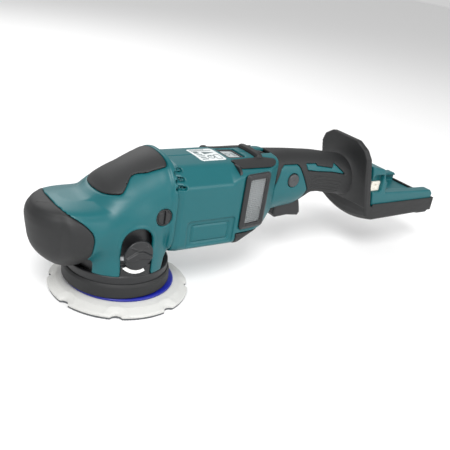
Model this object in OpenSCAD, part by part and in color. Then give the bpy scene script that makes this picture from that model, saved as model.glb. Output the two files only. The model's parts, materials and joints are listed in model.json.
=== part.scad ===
// Dual action polisher: forced-rotation orbital drive, brushless motor, battery mount at the rear.
// X runs rearwards, Z up, and the origin is where the main spindle's axis meets the pad's working face.

/* [Pad] */
// Diameter of the backing pad
pad_d = 150; // [125:1:180]
// Thickness of the foam layer
foam_h = 9.4; // [6:0.1:14]
// Thickness of the hook layer
hook_h = 1.6; // [1:0.1:2.5]
// Number of notches in the rim
notch_count = 8; // [4:1:12]
// Radius of each rim notch
notch_r = 6; // [3:0.5:8]
// Thickness of the blue hub plate
plate_h = 3; // [2:0.1:5]

/* [Orbit drive] */
// Orbit diameter of the pad
orbit = 9.5; // [7.5:0.1:11.5]
// Teeth of the fixed ring gear
ring_teeth = 39; // [39:1:39]
// Teeth of the pad gear
pad_teeth = 35; // [35:1:35]
// Face width of the pad gear
gear_w = 7; // [4:0.5:9]
// Number of teeth of the bevel gear
bevel_teeth = 34; // [34:1:34]
// Number of teeth of the drive pinion
pinion_teeth = 11; // [11:1:11]
// Module of the bevel pair
bevel_module = 1.25; // [1.05:0.05:1.4]

/* [Bodies] */
// Width of the motor housing
body_w = 92; // [84:1:110]
// Height of the motor housing
body_h = 91; // [85:1:101]
// Length of the straight part of the motor housing
motor_len = 86; // [76:1:106]
// Length of the tapered rear of the motor housing
taper_len = 54; // [45:1:66]
// Length of the handle behind the motor housing
handle_len = 120; // [104:1:145]
// Width of the handle
handle_w = 50; // [44:1:58]
// Height of the handle at the hand
handle_h = 54; // [46:1:60]
// Length of the battery tray
tray_len = 112; // [95:1:134]
// Width of the battery tray
tray_w = 80; // [70:1:92]
// Height of the guard plate
guard_top = 158; // [150:1:170]
// Wall of the plastic shells
wall = 3; // [2.4:0.1:3.6]
// Thickness of the moulded rubber
rubber_t = 4; // [3:0.1:5]

/* [Fits] */
// Radial clearance of a shaft that runs in a hole
run_fit = 0.04; // [0.02:0.01:0.1]
// Gap between pieces that move past each other
gap = 0.6; // [0.4:0.1:1]

/* [Hidden] */
$fn = 72;

// colours
teal = "#0f7f8c";
black = "#26282a";
rubber = "#2b2c2e";
steel = "#a9adb2";
alloy = "#c3c6c8";

// heights along the main spindle
ecc = orbit / 2;
pad_r = pad_d / 2;
plate_z = hook_h + foam_h;
pad_top = plate_z + plate_h;
plate_r = 58 + (pad_d - 150) / 3;
bolt_r = 4;
bolt_head_r = 6.5;
access_r = 3.4;
arbor_r = 6;
arbor_flange_r = 15;
ring_module = orbit / (ring_teeth - pad_teeth);
pad_pitch_r = ring_module * pad_teeth / 2;
ring_pitch_r = ring_module * ring_teeth / 2;
pad_add = 1;
pad_ded = 1.4;
ring_wall = 4.4;
ring_r = ring_pitch_r + pad_ded + ring_wall;
skirt_wall = 2.6;
column_r = ring_r + 2;
inner_r = column_r - 5.6;
skirt_r = column_r + skirt_wall;
skirt_z = pad_top + 0.8;
skirt_h = 16;
skirt_top = skirt_z + skirt_h;
cover_z = skirt_top + 7.2;
gear_top = pad_top + gear_w;
shelf_z = gear_top + 1.2;
hub_z = gear_top + 1.6;
pad_brg = [12, 28, 8];
hub_pocket_h = 2 * pad_brg[2] + 3;

// main spindle and bevel pair
low_brg = [17, 40, 12];
up_brg = [12, 28, 8];
motor_z = 96;
low_brg_z = 57;
up_brg_z = motor_z + 13;
low_brg_top = low_brg_z + low_brg[2];
spindle_top = up_brg_z + up_brg[2];
bevel_r = bevel_module * bevel_teeth / 2;
pinion_r = bevel_module * pinion_teeth / 2;
bevel_out_r = bevel_r + 1.2;
pinion_x0 = bevel_r - 7.2;
pinion_x1 = bevel_r + 1.75;
nut_r = 8;

// outer bodies
body_x = 38;
head_x1 = body_x;
body_x1 = body_x + motor_len;
taper_x1 = body_x1 + taper_len;
guard_x = taper_x1 + handle_len - 4;
body_top = motor_z + 47;
body_z0 = body_top - body_h;
head_r = column_r + 0.2;
grip_t = 5;

// motor
stator_r = 30;
stator_x = body_x + 22;
stator_len = 40;
rotor_r = 15;
shaft_r = 4;
front_brg = [8, 22, 7];
rear_brg = [6, 19, 6];
front_brg_x = body_x - 7;
fan_x = front_brg_x + front_brg[2] + 4;
fan_r = 33;
rear_brg_x = stator_x + stator_len + 13;
shaft_x1 = rear_brg_x + rear_brg[2] + 1;

// points of an arc and of a rounded rectangle
function arc(cx, cy, r, a0, a1, n = 6) =
    [for (i = [0:n]) let (a = a0 + (a1 - a0) * i / n) [cx + r * cos(a), cy + r * sin(a)]];
function rounded(x0, y0, x1, y1, r, n = 6) = concat(
    arc(x1 - r, y1 - r, r, 0, 90, n), arc(x0 + r, y1 - r, r, 90, 180, n),
    arc(x0 + r, y0 + r, r, 180, 270, n), arc(x1 - r, y0 + r, r, 270, 360, n));

// a profile in X and Z, drawn across the width w
module across(w) rotate([90, 0, 0]) translate([0, 0, -w / 2]) linear_extrude(w) children();
// a profile in Y and Z, drawn rearwards from x0
module rearwards(x0, len) translate([x0, 0, 0]) rotate([90, 0, 90]) linear_extrude(len) children();
module ring(r_in, r_out, z, h) translate([0, 0, z]) difference() {
    cylinder(r = r_out, h = h);
    translate([0, 0, -1]) cylinder(r = r_in, h = h + 2);
}
module tube_x(r_in, r_out, x, len) translate([x, 0, motor_z]) rotate([0, 90, 0]) difference() {
    cylinder(r = r_out, h = len);
    translate([0, 0, -1]) cylinder(r = r_in, h = len + 2);
}
module rod_x(r, x, len) translate([x, 0, motor_z]) rotate([0, 90, 0]) cylinder(r = r, h = len);
module half(side) intersection() {
    children();
    translate([-200, side > 0 ? 0 : -200, -50]) cube([900, 200, 300]);
}

// ball bearing of bore b[0], outer diameter b[1] and width b[2], standing on z = 0
module ball_bearing(b, balls = 9) {
    mid = (b[0] + b[1]) / 4;
    ball_r = (b[1] - b[0]) / 2 * 0.29;
    race = (b[1] - b[0]) / 2 * 0.24;
    difference() {
        ring(b[1] / 2 - race, b[1] / 2, 0, b[2]);
        translate([0, 0, b[2] / 2]) rotate_extrude() translate([mid, 0]) circle(r = ball_r + 0.02);
    }
    difference() {
        ring(b[0] / 2 + run_fit, b[0] / 2 + race, 0, b[2]);
        translate([0, 0, b[2] / 2]) rotate_extrude() translate([mid, 0]) circle(r = ball_r + 0.02);
    }
    for (i = [0:balls - 1])
        rotate([0, 0, 360 * i / balls]) translate([mid, 0, b[2] / 2]) sphere(r = ball_r);
}

// outline of straight-sided teeth: slope is -1 for teeth that point inwards
function tooth_points(n, rp, add, ded, fill, flank, inward) = [for (i = [0:n - 1])
    let (c = 360 * i / n, half_w = PI * rp / n * fill, s = inward ? -1 : 1,
        root = rp - s * ded, tip = rp + s * add,
        a = (half_w + ded * tan(flank)) / root * 180 / PI,
        b = (half_w - add * tan(flank)) / tip * 180 / PI)
    each [[root * cos(c - a), root * sin(c - a)], [tip * cos(c - b), tip * sin(c - b)],
        [tip * cos(c + b), tip * sin(c + b)], [root * cos(c + a), root * sin(c + a)]]];
gear_fill = 0.42;
gear_flank = 25;

// pad
module notches(h) for (i = [0:notch_count - 1])
    rotate([0, 0, 360 * (i + 0.4) / notch_count])
        translate([pad_r + notch_r * 0.25, 0, -1]) cylinder(r = notch_r, h = h + 2);
module at_pad_axis() translate([ecc, 0, 0]) children();

module hook_face() color("#55585c") at_pad_axis() difference() {
    cylinder(r = pad_r - 0.6, h = hook_h);
    notches(hook_h);
    translate([0, 0, -1]) cylinder(r = access_r, h = hook_h + 2);
}
module foam_pad() color("#e4e4e0") at_pad_axis() difference() {
    translate([0, 0, hook_h]) rotate_extrude() polygon([[0, 0], [pad_r - 1, 0], [pad_r, 1.2],
        [pad_r - 0.6, 3.4], [plate_r + 6, foam_h - 1.6], [plate_r + 1.6, foam_h], [0, foam_h]]);
    notches(plate_z);
    translate([0, 0, -1]) cylinder(r = access_r, h = plate_z);
    translate([0, 0, hook_h + 1.4]) cylinder(r = bolt_head_r + 1, h = foam_h);
}
module hub_plate() color("#1a2a86") at_pad_axis() difference() {
    translate([0, 0, plate_z]) cylinder(r = plate_r, h = plate_h);
    translate([0, 0, plate_z - 1]) cylinder(r = bolt_r + 0.3, h = plate_h + 2);
}
module pad_gear() color("#d8d4c4") at_pad_axis() difference() {
    translate([0, 0, pad_top]) rotate([0, 0, 180 / pad_teeth]) linear_extrude(gear_w)
        polygon(tooth_points(pad_teeth, pad_pitch_r, pad_add, pad_ded, gear_fill, gear_flank, false));
    translate([0, 0, pad_top - 1]) cylinder(r = arbor_flange_r, h = gear_w + 2);
    for (i = [0:5]) rotate([0, 0, 60 * i]) translate([pad_pitch_r * 0.66, 0, pad_top - 1])
        cylinder(r = pad_pitch_r * 0.17, h = gear_w + 2);
}
module pad_arbor() color(steel) at_pad_axis() difference() {
    union() {
        translate([0, 0, pad_top]) cylinder(r = arbor_flange_r, h = gear_w);
        translate([0, 0, gear_top]) cylinder(r = arbor_r + 2.4, h = 1.6 + 0.6);
        translate([0, 0, gear_top]) cylinder(r = arbor_r, h = hub_z - gear_top + hub_pocket_h - 1);
    }
    translate([0, 0, pad_top - 1]) cylinder(r = bolt_r, h = 19);
}
module pad_bolt() color("#3a3c40") at_pad_axis() {
    difference() {
        translate([0, 0, plate_z - 6]) cylinder(r = bolt_head_r, h = 6);
        translate([0, 0, plate_z - 7]) cylinder(r = 3.4, h = 5, $fn = 6);
    }
    translate([0, 0, plate_z]) cylinder(r = bolt_r, h = plate_h + 17);
}

// eccentric drive
module eccentric_hub() color(alloy) difference() {
    union() {
        translate([ecc, 0, hub_z]) cylinder(r = pad_brg[1] / 2 + 5, h = hub_pocket_h + 2);
        translate([0, 0, hub_z + hub_pocket_h + 2]) cylinder(r = low_brg[0] / 2 + 4, h = 6);
    }
    translate([ecc, 0, hub_z - 1]) cylinder(r = pad_brg[1] / 2, h = hub_pocket_h + 1);
    translate([0, 0, hub_z + hub_pocket_h + 2]) cylinder(r = low_brg[0] / 2, h = 10);
}
module counterweight() color("#8d7d5a") difference() {
    translate([0, 0, hub_z + 2]) cylinder(r = 38, h = 14);
    translate([ecc, 0, hub_z]) cylinder(r = pad_brg[1] / 2 + 5, h = 20);
    translate([-7, -50, hub_z]) cube([100, 100, 20]);
    for (a = [150, 210]) rotate([0, 0, a]) translate([31, 0, hub_z + 10]) cylinder(r = 2.5, h = 10);
}
module pad_bearings() color(steel) for (i = [0:1])
    translate([ecc, 0, hub_z + 0.6 + i * (pad_brg[2] + 1)]) ball_bearing(pad_brg);
module spindle() color(steel) {
    z1 = motor_z - 13;
    translate([0, 0, hub_z + hub_pocket_h + 2])
        cylinder(r = low_brg[0] / 2, h = z1 - hub_z - hub_pocket_h - 2);
    translate([0, 0, z1]) cylinder(r = up_brg[0] / 2, h = spindle_top - z1);
}

// bevel pair: every tooth line runs to the apex where the two axes cross
bevel_half = atan(bevel_teeth / pinion_teeth);
pinion_half = 90 - bevel_half;
cone_len = sqrt(bevel_r * bevel_r + pinion_r * pinion_r);
bevel_fill = 0.40;
bevel_flank = 20;
function cone_tooth(n, half_a, pitch_r, h, fill, flank) = [for (i = [0:n - 1])
    let (c = 360 * i / n, add = 0.8 * bevel_module, ded = 1.2 * bevel_module,
        tip = h * tan(half_a + atan(add / cone_len)), root = h * tan(half_a - atan(ded / cone_len)),
        half_w = PI * pitch_r / n * fill,
        a = (half_w + ded * tan(flank)) / pitch_r * 180 / PI,
        b = (half_w - add * tan(flank)) / pitch_r * 180 / PI)
    each [[root * cos(c - a), root * sin(c - a)], [tip * cos(c - b), tip * sin(c - b)],
        [tip * cos(c + b), tip * sin(c + b)], [root * cos(c + a), root * sin(c + a)]]];

module bevel_gear() color(steel) {
    deep = 10 * bevel_module / 1.25;
    shallow = 4.2 * bevel_module / 1.25;
    difference() {
        union() {
            intersection() {
                translate([0, 0, motor_z - deep]) linear_extrude(deep - shallow, scale = shallow / deep)
                    polygon(cone_tooth(bevel_teeth, bevel_half, bevel_r, deep, bevel_fill, bevel_flank));
                translate([0, 0, motor_z - deep - 1]) cylinder(r = bevel_out_r, h = deep);
            }
            translate([0, 0, motor_z - deep - 3]) cylinder(r = bevel_out_r, h = 3);
        }
        translate([0, 0, motor_z - 20]) cylinder(r = up_brg[0] / 2, h = 30);
        translate([0, 0, motor_z - shallow - 1.5]) cylinder(r = pinion_x0 - 1.4, h = 10);
    }
}
module gear_nut() color(steel) difference() {
    translate([0, 0, motor_z - 4.2 * bevel_module / 1.25 - 1.5]) cylinder(r = nut_r, h = 4, $fn = 6);
    translate([0, 0, motor_z - 20]) cylinder(r = up_brg[0] / 2, h = 30);
}
module drive_pinion() color(steel) difference() {
    translate([pinion_x1, 0, motor_z]) rotate([0, -90, 0])
        linear_extrude(pinion_x1 - pinion_x0, scale = pinion_x0 / pinion_x1)
            polygon(cone_tooth(pinion_teeth, pinion_half, pinion_r, pinion_x1, bevel_fill, bevel_flank));
    rod_x(shaft_r - 1, pinion_x0 - 1, 20);
}
module spindle_bearings() color(steel) {
    translate([0, 0, low_brg_z]) ball_bearing(low_brg, 9);
    translate([0, 0, up_brg_z]) ball_bearing(up_brg, 9);
}
module ring_gear() color("#9da2a6") translate([0, 0, pad_top + 0.6]) difference() {
    cylinder(r = ring_r, h = gear_w);
    translate([0, 0, -1]) linear_extrude(gear_w + 2)
        polygon(tooth_points(ring_teeth, ring_pitch_r, pad_add, pad_ded, gear_fill, gear_flank, true));
    translate([0, 0, pin_hole_z - pad_top - 0.6]) pin_axis() cylinder(r = pin_r + run_fit, h = 20);
}

// castings and covers of the head
box_r = 38;
module gear_housing() color(alloy) difference() {
    union() {
        translate([0, 0, low_brg_z - 3]) cylinder(r = low_brg[1] / 2 + 4, h = low_brg[2] + 3);
        translate([0, 0, low_brg_z - 3]) cylinder(r = inner_r, h = 4);
        translate([0, 0, low_brg_top]) cylinder(r = box_r - 8, h = up_brg_z - low_brg_top);
        translate([0, 0, up_brg_z]) cylinder(r = up_brg[1] / 2 + 4, h = up_brg[2] + 2);
        rod_x(box_r - 10, 0, head_x1);
        rod_x(box_r, head_x1 - 5, 5);
    }
    translate([0, 0, low_brg_z]) cylinder(r = low_brg[1] / 2, h = low_brg[2] + 4);
    translate([0, 0, low_brg_z - 5]) cylinder(r = low_brg[0] / 2 + 6, h = 10);
    translate([0, 0, low_brg_top + 3]) cylinder(r = box_r - 11, h = up_brg_z - low_brg_top - 6);
    translate([0, 0, up_brg_z]) cylinder(r = up_brg[1] / 2, h = up_brg[2] + 3);
    translate([0, 0, up_brg_z - 5]) cylinder(r = up_brg[0] / 2 + 4, h = 8);
    rod_x(box_r - 13, 0, front_brg_x - 2.5);
    rod_x(front_brg[1] / 2 - 3, front_brg_x - 4, 5);
    rod_x(front_brg[1] / 2, front_brg_x, 12);
    knob_axis() translate([0, 0, 32]) cylinder(r = knob_shaft_r + gap, h = 30);
    body_clearance();
    head_screw_spots() cylinder(r = 1.9, h = 20);
}
// room for the motor housing behind the head
module body_clearance() translate([body_x, -60, body_z0]) cube([60, 120, 90]);

// the knob's hole and the two dark recesses in the column
knob_x = -4;
knob_z = 62;
knob_r = 16.5;
recess_top = knob_z + 26;
shroud_r = column_r - 1.4;
knob_in = inner_r + gap;
knob_face = knob_in + 6.7;
knob_shaft_r = 6;
cam_h = 2.7;
cam_high = 11.7;
cam_rise = 3.2;
pin_r = 1.3;
pin_hole_z = pad_top + 0.6 + gear_w - 4;
module knob_axis() translate([knob_x, 0, knob_z]) rotate([90, 0, 0]) children();
pin_path_r = ring_r - ring_wall / 2 + 0.6;
module pin_axis() translate([knob_x, -sqrt(pow(pin_path_r, 2) - knob_x * knob_x), 0]) children();
// opening of the head cover around the knob, shrunk by o
module knob_recess(o) translate([knob_x, -60, 0]) rotate([90, 0, 0]) linear_extrude(60, center = true)
    polygon(rounded(o - knob_r, 30, knob_r - o, recess_top - o, knob_r - 1 - o));

module lower_housing() color(black) difference() {
    union() {
        ring(ring_r, column_r, skirt_z + 0.1, cover_z - skirt_z - 0.1);
        ring(inner_r - 2, column_r, shelf_z, cover_z - shelf_z);
        intersection() {
            ring(inner_r - 1, shroud_r, cover_z - 1, 12);
            knob_recess(0.3);
        }
        ring(inner_r - 2, inner_r, shelf_z, low_brg_z - 3 - shelf_z);
        ring(low_brg[1] / 2 + 12, inner_r, low_brg_z - 5, 2);
    }
    knob_axis() cylinder(r = knob_shaft_r + gap, h = 100);
    knob_axis() translate([0, 0, inner_r]) cylinder(r = knob_r, h = 20);
    pin_axis() cylinder(r = pin_r + run_fit, h = 60);
    body_clearance();
}
module skirt() color(rubber) difference() {
    translate([0, 0, skirt_z]) cylinder(r1 = skirt_r, r2 = skirt_r - 0.6, h = skirt_top - skirt_z - 1);
    translate([0, 0, skirt_z - 1]) cylinder(r = column_r, h = 50);
}
module dust_seal() color("#7b756a") ring(low_brg[0] / 2 + run_fit, low_brg[0] / 2 + 6, low_brg_z - 3, 2.6);

// head body, shrunk by o on every side
head_front = -62;
module head_upper(o) intersection() {
    across(240) polygon([[head_front + o, 60], [head_front + o, 108 - o], [-50, 110 - o],
        [-38, 117 - o], [-24, 129 - o], [-8, 138 - o], [10, 145.5 - o], [24, 149.5 - o],
        [30, 150 - o], [head_x1, 148 - o], [head_x1, body_z0 + 4 + o], [20, 58 + o], [10, 60]]);
    translate([0, 0, 20]) linear_extrude(160) polygon(concat(
        [[head_x1, -47 + o], [head_x1, 47 - o]], [[16, 50 - o], [-10, 50 - o]],
        arc(-48, 0, 46.5 - o, 92, 268, 14), [[-10, -50 + o], [16, -50 + o]]));
    rearwards(-120, 200) polygon(concat(
        arc(17, 116, 34 - o, 0, 90), arc(-17, 116, 34 - o, 90, 180), [[-51 + o, 20], [51 - o, 20]]));
}
// the part of the head that the top grip covers, grown by o
module grip_zone(o) across(240) polygon([[-40 - o, 116], [-26 - o, 107 - o], [-10, 104 - o], [2, 112 - o],
    [14, 118 - o], [head_x1 - 4 + o, 124 - o], [head_x1 - 4 + o, 170], [-40 - o, 170]]);
module column(o, z0, h) translate([0, 0, z0]) cylinder(r = head_r - o, h = h);

module head_cover() color(teal) difference() {
    union() {
        head_upper(0);
        column(0, cover_z, 92 - cover_z);
    }
    difference() {
        head_upper(wall);
        difference() {
            grip_zone(wall);
            head_upper(grip_t + wall);
        }
    }
    column(wall, 0, 92);
    intersection() {
        grip_zone(0);
        difference() {
            head_upper(-1);
            head_upper(grip_t);
        }
    }
    // front recess below the nose, side recesses for the knob, opening for the casting
    translate([-80, -32, 30]) cube([50, 64, 34]);
    knob_recess(0);
    rod_x(box_r, 0, 80);
    for (s = [-1, 1]) translate([plug_x, s * 50, plug_z]) rotate([90, 0, 0])
        cylinder(r = plug_r, h = 20, center = true);
    body_clearance();
}
module nose_bumper() color(rubber) difference() {
    intersection() {
        translate([-49, 0, 0]) rotate_extrude() polygon(concat([[0, 40], [26, 40]],
            arc(32, 58, 17, -80, 0), arc(31, 91, 18, 0, 80), [[0, 108.5]]));
        translate([-120, -60, 0]) cube([62, 120, 130]);
    }
    translate([-49, 0, 0]) rotate_extrude() polygon(concat([[0, 48], [26, 48]],
        arc(29, 60, 12, -80, 0), arc(28, 90, 12, 0, 80), [[0, 102]]));
    translate([head_front, -60, 60]) cube([20, 120, 60]);
}
module top_grip() color(rubber) intersection() {
    grip_zone(0);
    difference() {
        head_upper(0);
        head_upper(grip_t);
    }
}
plug_x = 26;
plug_z = 96;
plug_r = 9;
module side_plugs() color(black) for (s = [-1, 1])
    translate([plug_x, s * 48, plug_z]) rotate([90, 0, 0]) difference() {
        cylinder(r = plug_r, h = 5, center = true);
        translate([0, 0, -s * 3.4]) cube([1.8, 2 * plug_r, 3.6], center = true);
    }

// screws that hold the casting to the motor housing's front plate
module head_screw_spots() for (a = [45:90:315]) translate([head_x1 - 5, 0, motor_z]) rotate([a, 0, 0])
    translate([0, box_r - 4.4, 0]) rotate([0, 90, 0]) children();
module head_screws() color(steel) head_screw_spots() {
    cylinder(r = 1.8, h = 5 + plate_t);
    translate([0, 0, -2.4]) cylinder(r = 3.4, h = 2.4);
}

// mode knob, with the heart cam that holds the lock pin down in the ring gear
function cam_r(a) = cam_high - cam_rise * abs(a - 270) / 180;
module mode_knob() color(black) knob_axis() {
    translate([0, 0, 34]) cylinder(r = knob_shaft_r, h = knob_in - 33);
    translate([0, 0, knob_in]) linear_extrude(cam_h)
        polygon([for (a = [90:6:444]) [cam_r(a) * cos(a), cam_r(a) * sin(a)]]);
    translate([0, 0, knob_in + cam_h]) cylinder(r = knob_r - gap, h = knob_face - knob_in - cam_h);
    intersection() {
        translate([0, 0, knob_face]) cylinder(r = knob_r - 2.5, h = 3);
        translate([-knob_r, -9, knob_face]) cube([2 * knob_r, 18, 3]);
    }
}
// white crescent on the wall below the knob
module knob_mark() color("white") intersection() {
    ring(shroud_r, shroud_r + 0.6, cover_z, 12);
    knob_axis() linear_extrude(80)
        polygon(concat(arc(0, 0, knob_r + 4, 225, 295, 12), arc(0.4, 1.2, knob_r + 1.6, 291, 230, 12)));
}
module lock_pin() color(steel) pin_axis()
    translate([0, 0, pin_hole_z + 0.4]) cylinder(r = pin_r, h = knob_z - cam_high - 0.3 - pin_hole_z - 0.4);

// motor housing, shrunk by o on every side
plate_t = 3.2;
side_x = body_x1 - 6;
module body_shape(o, over = 0) intersection() {
    rearwards(body_x - over, taper_x1 - body_x + 2 * over) polygon(concat(
        arc(body_w / 2 - 12, body_top - 12, 12 - o, 0, 90),
        arc(12 - body_w / 2, body_top - 12, 12 - o, 90, 180),
        arc(9 - body_w / 2, body_z0 + 9, 9 - o, 180, 270),
        arc(body_w / 2 - 9, body_z0 + 9, 9 - o, 270, 360)));
    across(body_w) polygon([[body_x - 9, body_z0 - 1 + o], [body_x1, body_z0 - 1 + o], [taper_x1 - 4, 72 + o],
        [taper_x1 + 9, 73 + o], [taper_x1 + 9, 160], [body_x - 9, 160]]);
    translate([0, 0, 20]) linear_extrude(160)
        polygon([for (s = [1, -1]) for (p = side_line(o, s)) [p[0], s * p[1]]]);
}
function side_line(o, s) = let (pts = [[body_x - 9, body_w / 2 - o], [side_x, body_w / 2 - o],
    [side_x + 38, body_w / 2 - 5.6 - o], [taper_x1, handle_w / 2 - o], [taper_x1 + 9, handle_w / 2 - o]])
    s > 0 ? pts : [for (i = [len(pts) - 1:-1:0]) pts[i]];

// cuts for the filters, the display window, the dial and the label
filter_z0 = 70;
filter_z1 = 135;
filter_len = 37;
filter_turn = atan(5.6 / 38);
module filter_frame_axis(side) translate([side_x + 0.6, side * body_w / 2, 0]) mirror([0, side > 0 ? 0 : 1, 0])
    rotate([90, 0, -filter_turn]) children();
module filter_outline(o) polygon(rounded(o, filter_z0 + o, filter_len - o, filter_z1 - o, 5 - min(o, 4)));
window_x = body_x + 76.5;
window_len = 24;
window_w = 29;
dial_x = body_x + 129;
dial_r = 13;
dial_z = body_top - dial_r - 0.4;
dial_w = 9;
dial_pin_r = 2;
label_x = body_x + 41;
label_len = 32;
label_w = 36;
module dial_axis() translate([dial_x, 0, dial_z]) rotate([90, 0, 0]) children();
module top_cuts() {
    translate([window_x, -window_w / 2, body_top - wall - 2]) cube([window_len, window_w, 20]);
    translate([dial_x - 10, -dial_w / 2 - 1, body_top - wall - 2]) cube([20, dial_w + 2, 20]);
    translate([label_x, -label_w / 2, body_top - 0.6]) cube([label_len, label_w, 5]);
    translate([body_x + 111, -30, body_top - 1.2]) cube([8, 60, 5]);
}
boss_spots = [[body_x + 8, body_z0 + 5.4], [body_x + 8, body_top - 7], [body_x1 - 4, body_z0 + 7],
    [body_x1 - 4, body_top - 12], [taper_x1 - 12, 84], [taper_x1 - 12, 110]];
handle_spots = [[taper_x1 + 72, 122], [taper_x1 + 100, 113]];
module screw_line(p) translate([p[0], 0, p[1]]) rotate([-90, 0, 0]) children();
module motor_housing(side) color(teal) {
    half(side) difference() {
        union() {
            difference() {
                body_shape(0);
                body_shape(wall, 1);
            }
            intersection() {
                body_shape(1);
                union() {
                    for (p = boss_spots) screw_line(p) cylinder(r = 4.4, h = 100, center = true);
                    tube_x(box_r - 12, 70, body_x, plate_t);
                    translate([dial_x - 5, -dial_w / 2 - 6, dial_z - 5]) cube([10, dial_w + 12, 30]);
                }
            }
        }
        dial_axis() cylinder(r = dial_r + gap, h = dial_w + 2 * gap, center = true);
        dial_axis() cylinder(r = dial_pin_r, h = dial_w + 10, center = true);
        for (p = boss_spots) screw_line(p) translate([0, 0, -12]) cylinder(r = 1.7, h = 60);
        for (p = boss_spots) screw_line(p) translate([0, 0, 16]) cylinder(r = 3.6, h = 60);
        filter_frame_axis(side) translate([0, 0, -1]) linear_extrude(9) filter_outline(-gap / 2);
        top_cuts();
        head_screw_spots() cylinder(r = 1.8, h = 20);
        // outlet louvres beside the head
        for (i = [0:2]) translate([body_x + 2, side * 30 - 20, 122 + 6 * i]) cube([7, 40, 2.6]);
    }
}
module motor_housing_left() motor_housing(-1);
module motor_housing_right() motor_housing(1);

module filter_cover(side) color(black) filter_frame_axis(side) difference() {
    translate([0, 0, -0.6]) linear_extrude(wall + 1) filter_outline(gap / 2);
    translate([0, 0, -2]) linear_extrude(wall + 4) filter_outline(7);
}
module filter_mesh(side) color("#8f9496") filter_frame_axis(side) difference() {
    translate([0, 0, 1]) linear_extrude(0.8) filter_outline(7);
    for (i = [0:3], j = [0:7]) translate([9.5 + 5 * i, filter_z0 + 9 + 6.2 * j, 0]) cube([3.4, 4.4, 4]);
}
module filter_cover_left() filter_cover(-1);
module filter_cover_right() filter_cover(1);
module filter_mesh_left() filter_mesh(-1);
module filter_mesh_right() filter_mesh(1);

// motor
slots = 6;
module stator_slots(r0, r1, w) for (i = [0:slots - 1])
    translate([0, 0, motor_z]) rotate([360 * i / slots, 0, 0])
        translate([stator_x - 1, -w / 2, r0]) cube([stator_len + 2, w, r1 - r0]);
module stator_core() color("#6d7074") difference() {
    tube_x(rotor_r + 0.6, stator_r, stator_x, stator_len);
    stator_slots(0, 26, 8);
}
module stator_windings() color("#b8703a") {
    tube_x(rotor_r + 3, 26, stator_x - 6, 6);
    tube_x(rotor_r + 3, 26, stator_x + stator_len, 6);
    intersection() {
        tube_x(rotor_r + 3, 26, stator_x, stator_len);
        stator_slots(rotor_r, 26, 8);
    }
}
module rotor_shaft() color(steel) {
    rod_x(shaft_r - 1, pinion_x0, pinion_x1 - pinion_x0 + 1);
    rod_x(shaft_r, pinion_x1 + 0.5, rear_brg_x - pinion_x1 - 1);
    rod_x(rear_brg[0] / 2, rear_brg_x - 1, shaft_x1 - rear_brg_x + 1);
}
module rotor_core() color("#85898d") tube_x(shaft_r, rotor_r, stator_x + 1, stator_len - 2);
module cooling_fan() color("#d9d6cc") {
    tube_x(shaft_r, 9, fan_x, 9);
    difference() {
        union() {
            rod_x(fan_r, fan_x, 1.6);
            for (i = [0:10]) translate([0, 0, motor_z]) rotate([360 * i / 11, 0, 0])
                translate([fan_x + 1.5, -0.8, 12]) cube([6.5, 1.6, fan_r - 12.5]);
        }
        rod_x(8.5, fan_x - 1, 20);
    }
}
module motor_bearings() color(steel) for (b = [[front_brg_x, front_brg], [rear_brg_x, rear_brg]])
    translate([b[0], 0, motor_z]) rotate([0, 90, 0]) ball_bearing(b[1], 7);
module bearing_holder() color(black) difference() {
    union() {
        rod_x(rear_brg[1] / 2 + 3, rear_brg_x - 2, rear_brg[2] + 4);
        intersection() {
            body_shape(wall);
            rod_x(60, rear_brg_x, 3);
        }
    }
    rod_x(rear_brg[1] / 2, rear_brg_x, 20);
    rod_x(rear_brg[0] / 2 + 2, rear_brg_x - 5, 20);
    for (i = [0:5]) translate([0, 0, motor_z]) rotate([60 * i + 30, 0, 0])
        translate([rear_brg_x - 1, -7, 19]) cube([8, 14, 14]);
    for (p = boss_spots) screw_line(p) cylinder(r = 4.5, h = 120, center = true);
}

// pieces on top of the motor housing
module label_plate() color("#dfe3e4")
    translate([label_x + 0.3, 0.3 - label_w / 2, body_top - 0.6]) cube([label_len - 0.6, label_w - 0.6, 0.6]);
module window_lens() color("#c9d2d4")
    translate([window_x + 0.2, 0.2 - window_w / 2, body_top - 2]) cube([window_len - 0.4, window_w - 0.4, 1.4]);
module speed_dial() color(black) dial_axis() difference() {
    cylinder(r = dial_r, h = dial_w, center = true);
    cylinder(r = dial_pin_r + run_fit, h = dial_w + 2, center = true);
    for (i = [0:35]) rotate([0, 0, 10 * i]) translate([dial_r, 0, 0]) cube([1.2, 1, dial_w + 2], center = true);
}
module dial_pin() color(steel) dial_axis() cylinder(r = dial_pin_r, h = dial_w + 10, center = true);
module bridge_strap() color(rubber) intersection() {
    translate([body_x + 111.2, -29.8, body_top - 1.2]) cube([7.6, 59.6, 5]);
    body_shape(-2);
}

// handle, shrunk by o on every side
grip_x = taper_x1 + 58;
lean = 9;
module handle_shape(o) {
    intersection() {
        rearwards(taper_x1, 64)
            polygon(rounded(-handle_w / 2 + o, 70 + o, handle_w / 2 - o, body_top + 1 - o, 18 - o));
        across(100) polygon([[taper_x1 - 1, 72 + o], [taper_x1 + 50, 74 + o], [taper_x1 + 64, 84 + o],
            [taper_x1 + 64, body_top - 0.5 - o], [taper_x1 + 30, body_top - o], [taper_x1 - 1, body_top + 1 - o]]);
    }
    intersection() {
        translate([grip_x, 0, 117]) rotate([0, lean, 0]) rotate([90, 0, 90]) linear_extrude(90)
            polygon(rounded(-handle_w / 2 + o, -handle_h / 2 + o, handle_w / 2 - o, handle_h / 2 - o, 22 - o));
        across(100) polygon([[grip_x, 60], each guard_front(60), [grip_x, guard_top]]);
    }
}
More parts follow.
